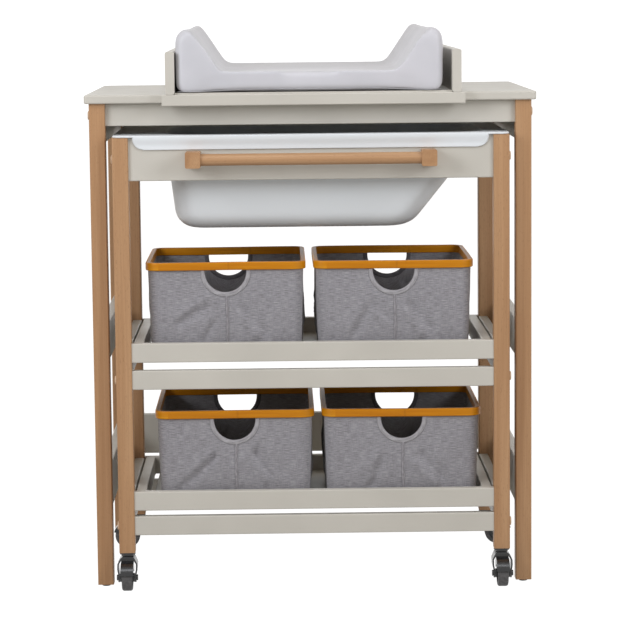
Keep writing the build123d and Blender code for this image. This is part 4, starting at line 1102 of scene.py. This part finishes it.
def make_tub_lip(front):
    """Lip that rolls over from the rim's edge and hangs before the rail.

    Its section falls in a smooth step from the rim's edge to the lip's face, and comes back up
    behind it round a half ellipse. The lower corners are quarter circles, and both ends thin out
    in a quarter ellipse.
    """
    low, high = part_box("bathtub")
    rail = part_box("trolley_top_rail_front" if front else "trolley_top_rail_rear")
    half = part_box("trolley_leg_front_right")[0].x - LIP_SIDE_GAP
    edge = low.y if front else high.y
    side = -1 if front else 1
    face = (rail[0].y if front else rail[1].y) + side * LIP_FACE_GAP
    foot = high.z - LIP_DROP
    share = np.linspace(0, 1, 28)
    curl = LIP_ROUND * (np.sqrt(np.clip(share / 0.05, 0, 1)) - 1)
    stand = (abs(edge - face) + LIP_PROUD) * (1 - smooth_step(share, 0.14, 0.8)) + curl
    turn = np.radians(np.linspace(0, 180, 7)[1:-1])
    y = np.concatenate([face + side * stand, face - side * LIP_WALL / 2 * (1 - np.cos(turn)),
                        np.full(8, face - side * LIP_WALL)])
    z = np.concatenate([high.z - LIP_PROUD - (LIP_DROP - LIP_PROUD) * share,
                        foot - LIP_ROUND * np.sin(turn),
                        np.linspace(foot, high.z - LIP_PROUD, 8)])
    below = np.clip(LIP_CORNER - (z - foot), 0, LIP_CORNER)
    reach = half - LIP_CORNER + np.sqrt(LIP_CORNER ** 2 - below ** 2)
    reach -= LIP_FOOT_SHORTER * (below > LIP_CORNER - 1e-6)
    end = np.linspace(LIP_END_FROM, 1, 7)
    across = np.concatenate([-end[::-1], np.linspace(-LIP_END_FROM, LIP_END_FROM, 31)[1:-1], end])
    past = ((np.abs(across) - LIP_END_FROM) / (1 - LIP_END_FROM)).clip(0, 1)
    core_y = face - side * LIP_WALL / 2
    thinned = core_y + (y[:, None] - core_y) * np.sqrt(1 - 0.9 * past ** 2)[None]
    points = np.stack(np.broadcast_arrays(across[None] * reach[:, None], thinned, z[:, None]), -1)
    points = points[::-side]
    piece = grid_surface(f"bathtub_lip_{SIDE_NAMES[front]}", points,
                         first_pole=points[:, 0].mean(0), last_pole=points[:, -1].mean(0))
    return dressed(piece, "tub_plastic", "bathtub")


# Studio: a white surround and floor, three soft boxes, and the photograph's camera

PICTURE_SIDE = 622
SENSOR = 36.0
CAMERA_PLACE = (-0.0558, -5.1225, 1.1020)
CAMERA_PITCH = math.radians(6.871)
CAMERA_YAW = math.radians(0.635)
CAMERA_ROLL = math.radians(-0.584)
CAMERA_FOCUS = 2583.6

WHITE = (1.0, 1.0, 1.0, 1.0)
AMBIENT = 0.36
AMBIENT_COLOUR = (1.0, 0.88, 0.7, 1.0)
SURROUND = 1.15
FLOOR_SIDE = 20.0
FLOOR_COLOUR = (0.6, 0.6, 0.6, 1.0)
FLOOR_GLOW = 1.35
FLOOR_GLOW_SHARE = 0.75
LAMP_COLOUR = (0.98, 1.0, 1.05)
LAMP_DISTANCE = 2.7
OBJECT_MIDDLE = Vector((0, 0, 0.75))


def make_camera():
    """Camera from its place, pitch, yaw and roll; its focal length is in picture points."""
    level = Vector((math.cos(CAMERA_YAW), -math.sin(CAMERA_YAW), 0))
    ahead = Vector((math.sin(CAMERA_YAW) * math.cos(CAMERA_PITCH),
                    math.cos(CAMERA_YAW) * math.cos(CAMERA_PITCH), -math.sin(CAMERA_PITCH)))
    above = level.cross(ahead)
    right = level * math.cos(CAMERA_ROLL) + above * math.sin(CAMERA_ROLL)
    up = above * math.cos(CAMERA_ROLL) - level * math.sin(CAMERA_ROLL)
    data = bpy.data.cameras.new("camera")
    data.sensor_width = SENSOR
    data.lens = CAMERA_FOCUS / PICTURE_SIDE * SENSOR
    data.clip_end = 60
    camera = bpy.data.objects.new("camera", data)
    turn = Matrix((right, up, -ahead)).transposed().to_4x4()
    camera.matrix_world = Matrix.Translation(CAMERA_PLACE) @ turn
    bpy.context.scene.collection.objects.link(camera)
    bpy.context.scene.camera = camera


def seen_directly(tree):
    """1 for rays from the camera, off glossy surfaces or through clear ones, 0 for other light."""
    path = add_node(tree, "ShaderNodeLightPath").outputs
    either = calculate(tree, "MAXIMUM", path["Is Camera Ray"], path["Is Glossy Ray"])
    return calculate(tree, "MAXIMUM", either, path["Is Transmission Ray"])


def make_world():
    """Even surround: plain white where it is seen, a softer warm white as light."""
    world = bpy.data.worlds.new("surround")
    world.use_nodes = True
    tree = world.node_tree
    direct = seen_directly(tree)
    background = tree.nodes["Background"]
    tree.links.new(blend_colours(tree, direct, AMBIENT_COLOUR, WHITE), background.inputs["Color"])
    tree.links.new(grade(tree, direct, 0, 1, AMBIENT, SURROUND), background.inputs["Strength"])
    bpy.context.scene.world = world


def make_floor():
    """White floor that shows a pale shadow of the object."""
    corners = FLOOR_SIDE * np.array([(-1, -1, 0), (1, -1, 0), (1, 1, 0), (-1, 1, 0)], float)
    floor = set_mesh("floor", corners, [[0, 1, 2, 3]])
    material, tree = new_material("floor")
    matte = tree.nodes["Principled BSDF"]
    matte.inputs["Base Color"].default_value = FLOOR_COLOUR
    matte.inputs["Roughness"].default_value = 1.0
    matte.inputs["Specular IOR Level"].default_value = 0.0
    glow = add_node(tree, "ShaderNodeEmission", Color=WHITE, Strength=FLOOR_GLOW)
    share = calculate(tree, "MULTIPLY", seen_directly(tree), FLOOR_GLOW_SHARE)
    mixed = add_node(tree, "ShaderNodeMixShader", i0=share, i1=matte.outputs[0],
                     i2=glow.outputs[0])
    tree.links.new(mixed.outputs[0], tree.nodes["Material Output"].inputs["Surface"])
    floor.data.materials.append(material)


def make_soft_box(name, power, azimuth, elevation, width, height):
    """Soft box that looks at the object's middle, from an angle round it and one above it."""
    data = bpy.data.lights.new(name, "AREA")
    data.energy, data.color = power, LAMP_COLOUR
    data.shape, data.size, data.size_y = "RECTANGLE", width, height
    light = bpy.data.objects.new(name, data)
    a, e = math.radians(azimuth), math.radians(elevation)
    towards = Vector((math.sin(a) * math.cos(e), -math.cos(a) * math.cos(e), math.sin(e)))
    turn = towards.to_track_quat("Z", "Y").to_matrix().to_4x4()
    light.matrix_world = Matrix.Translation(OBJECT_MIDDLE + towards * LAMP_DISTANCE) @ turn
    bpy.context.scene.collection.objects.link(light)


dress_nodes()
make_baskets()
make_mat()
make_tub()
for front in (True, False):
    make_tub_lip(front)
make_camera()
make_world()
make_floor()
make_soft_box("left_box", 30, -46, 20, 1.0, 1.2)
make_soft_box("right_box", 24, 46, 20, 1.0, 1.2)
make_soft_box("top_box", 16, 0, 56, 1.3, 0.9)
bpy.context.scene.view_settings.view_transform = "Standard"
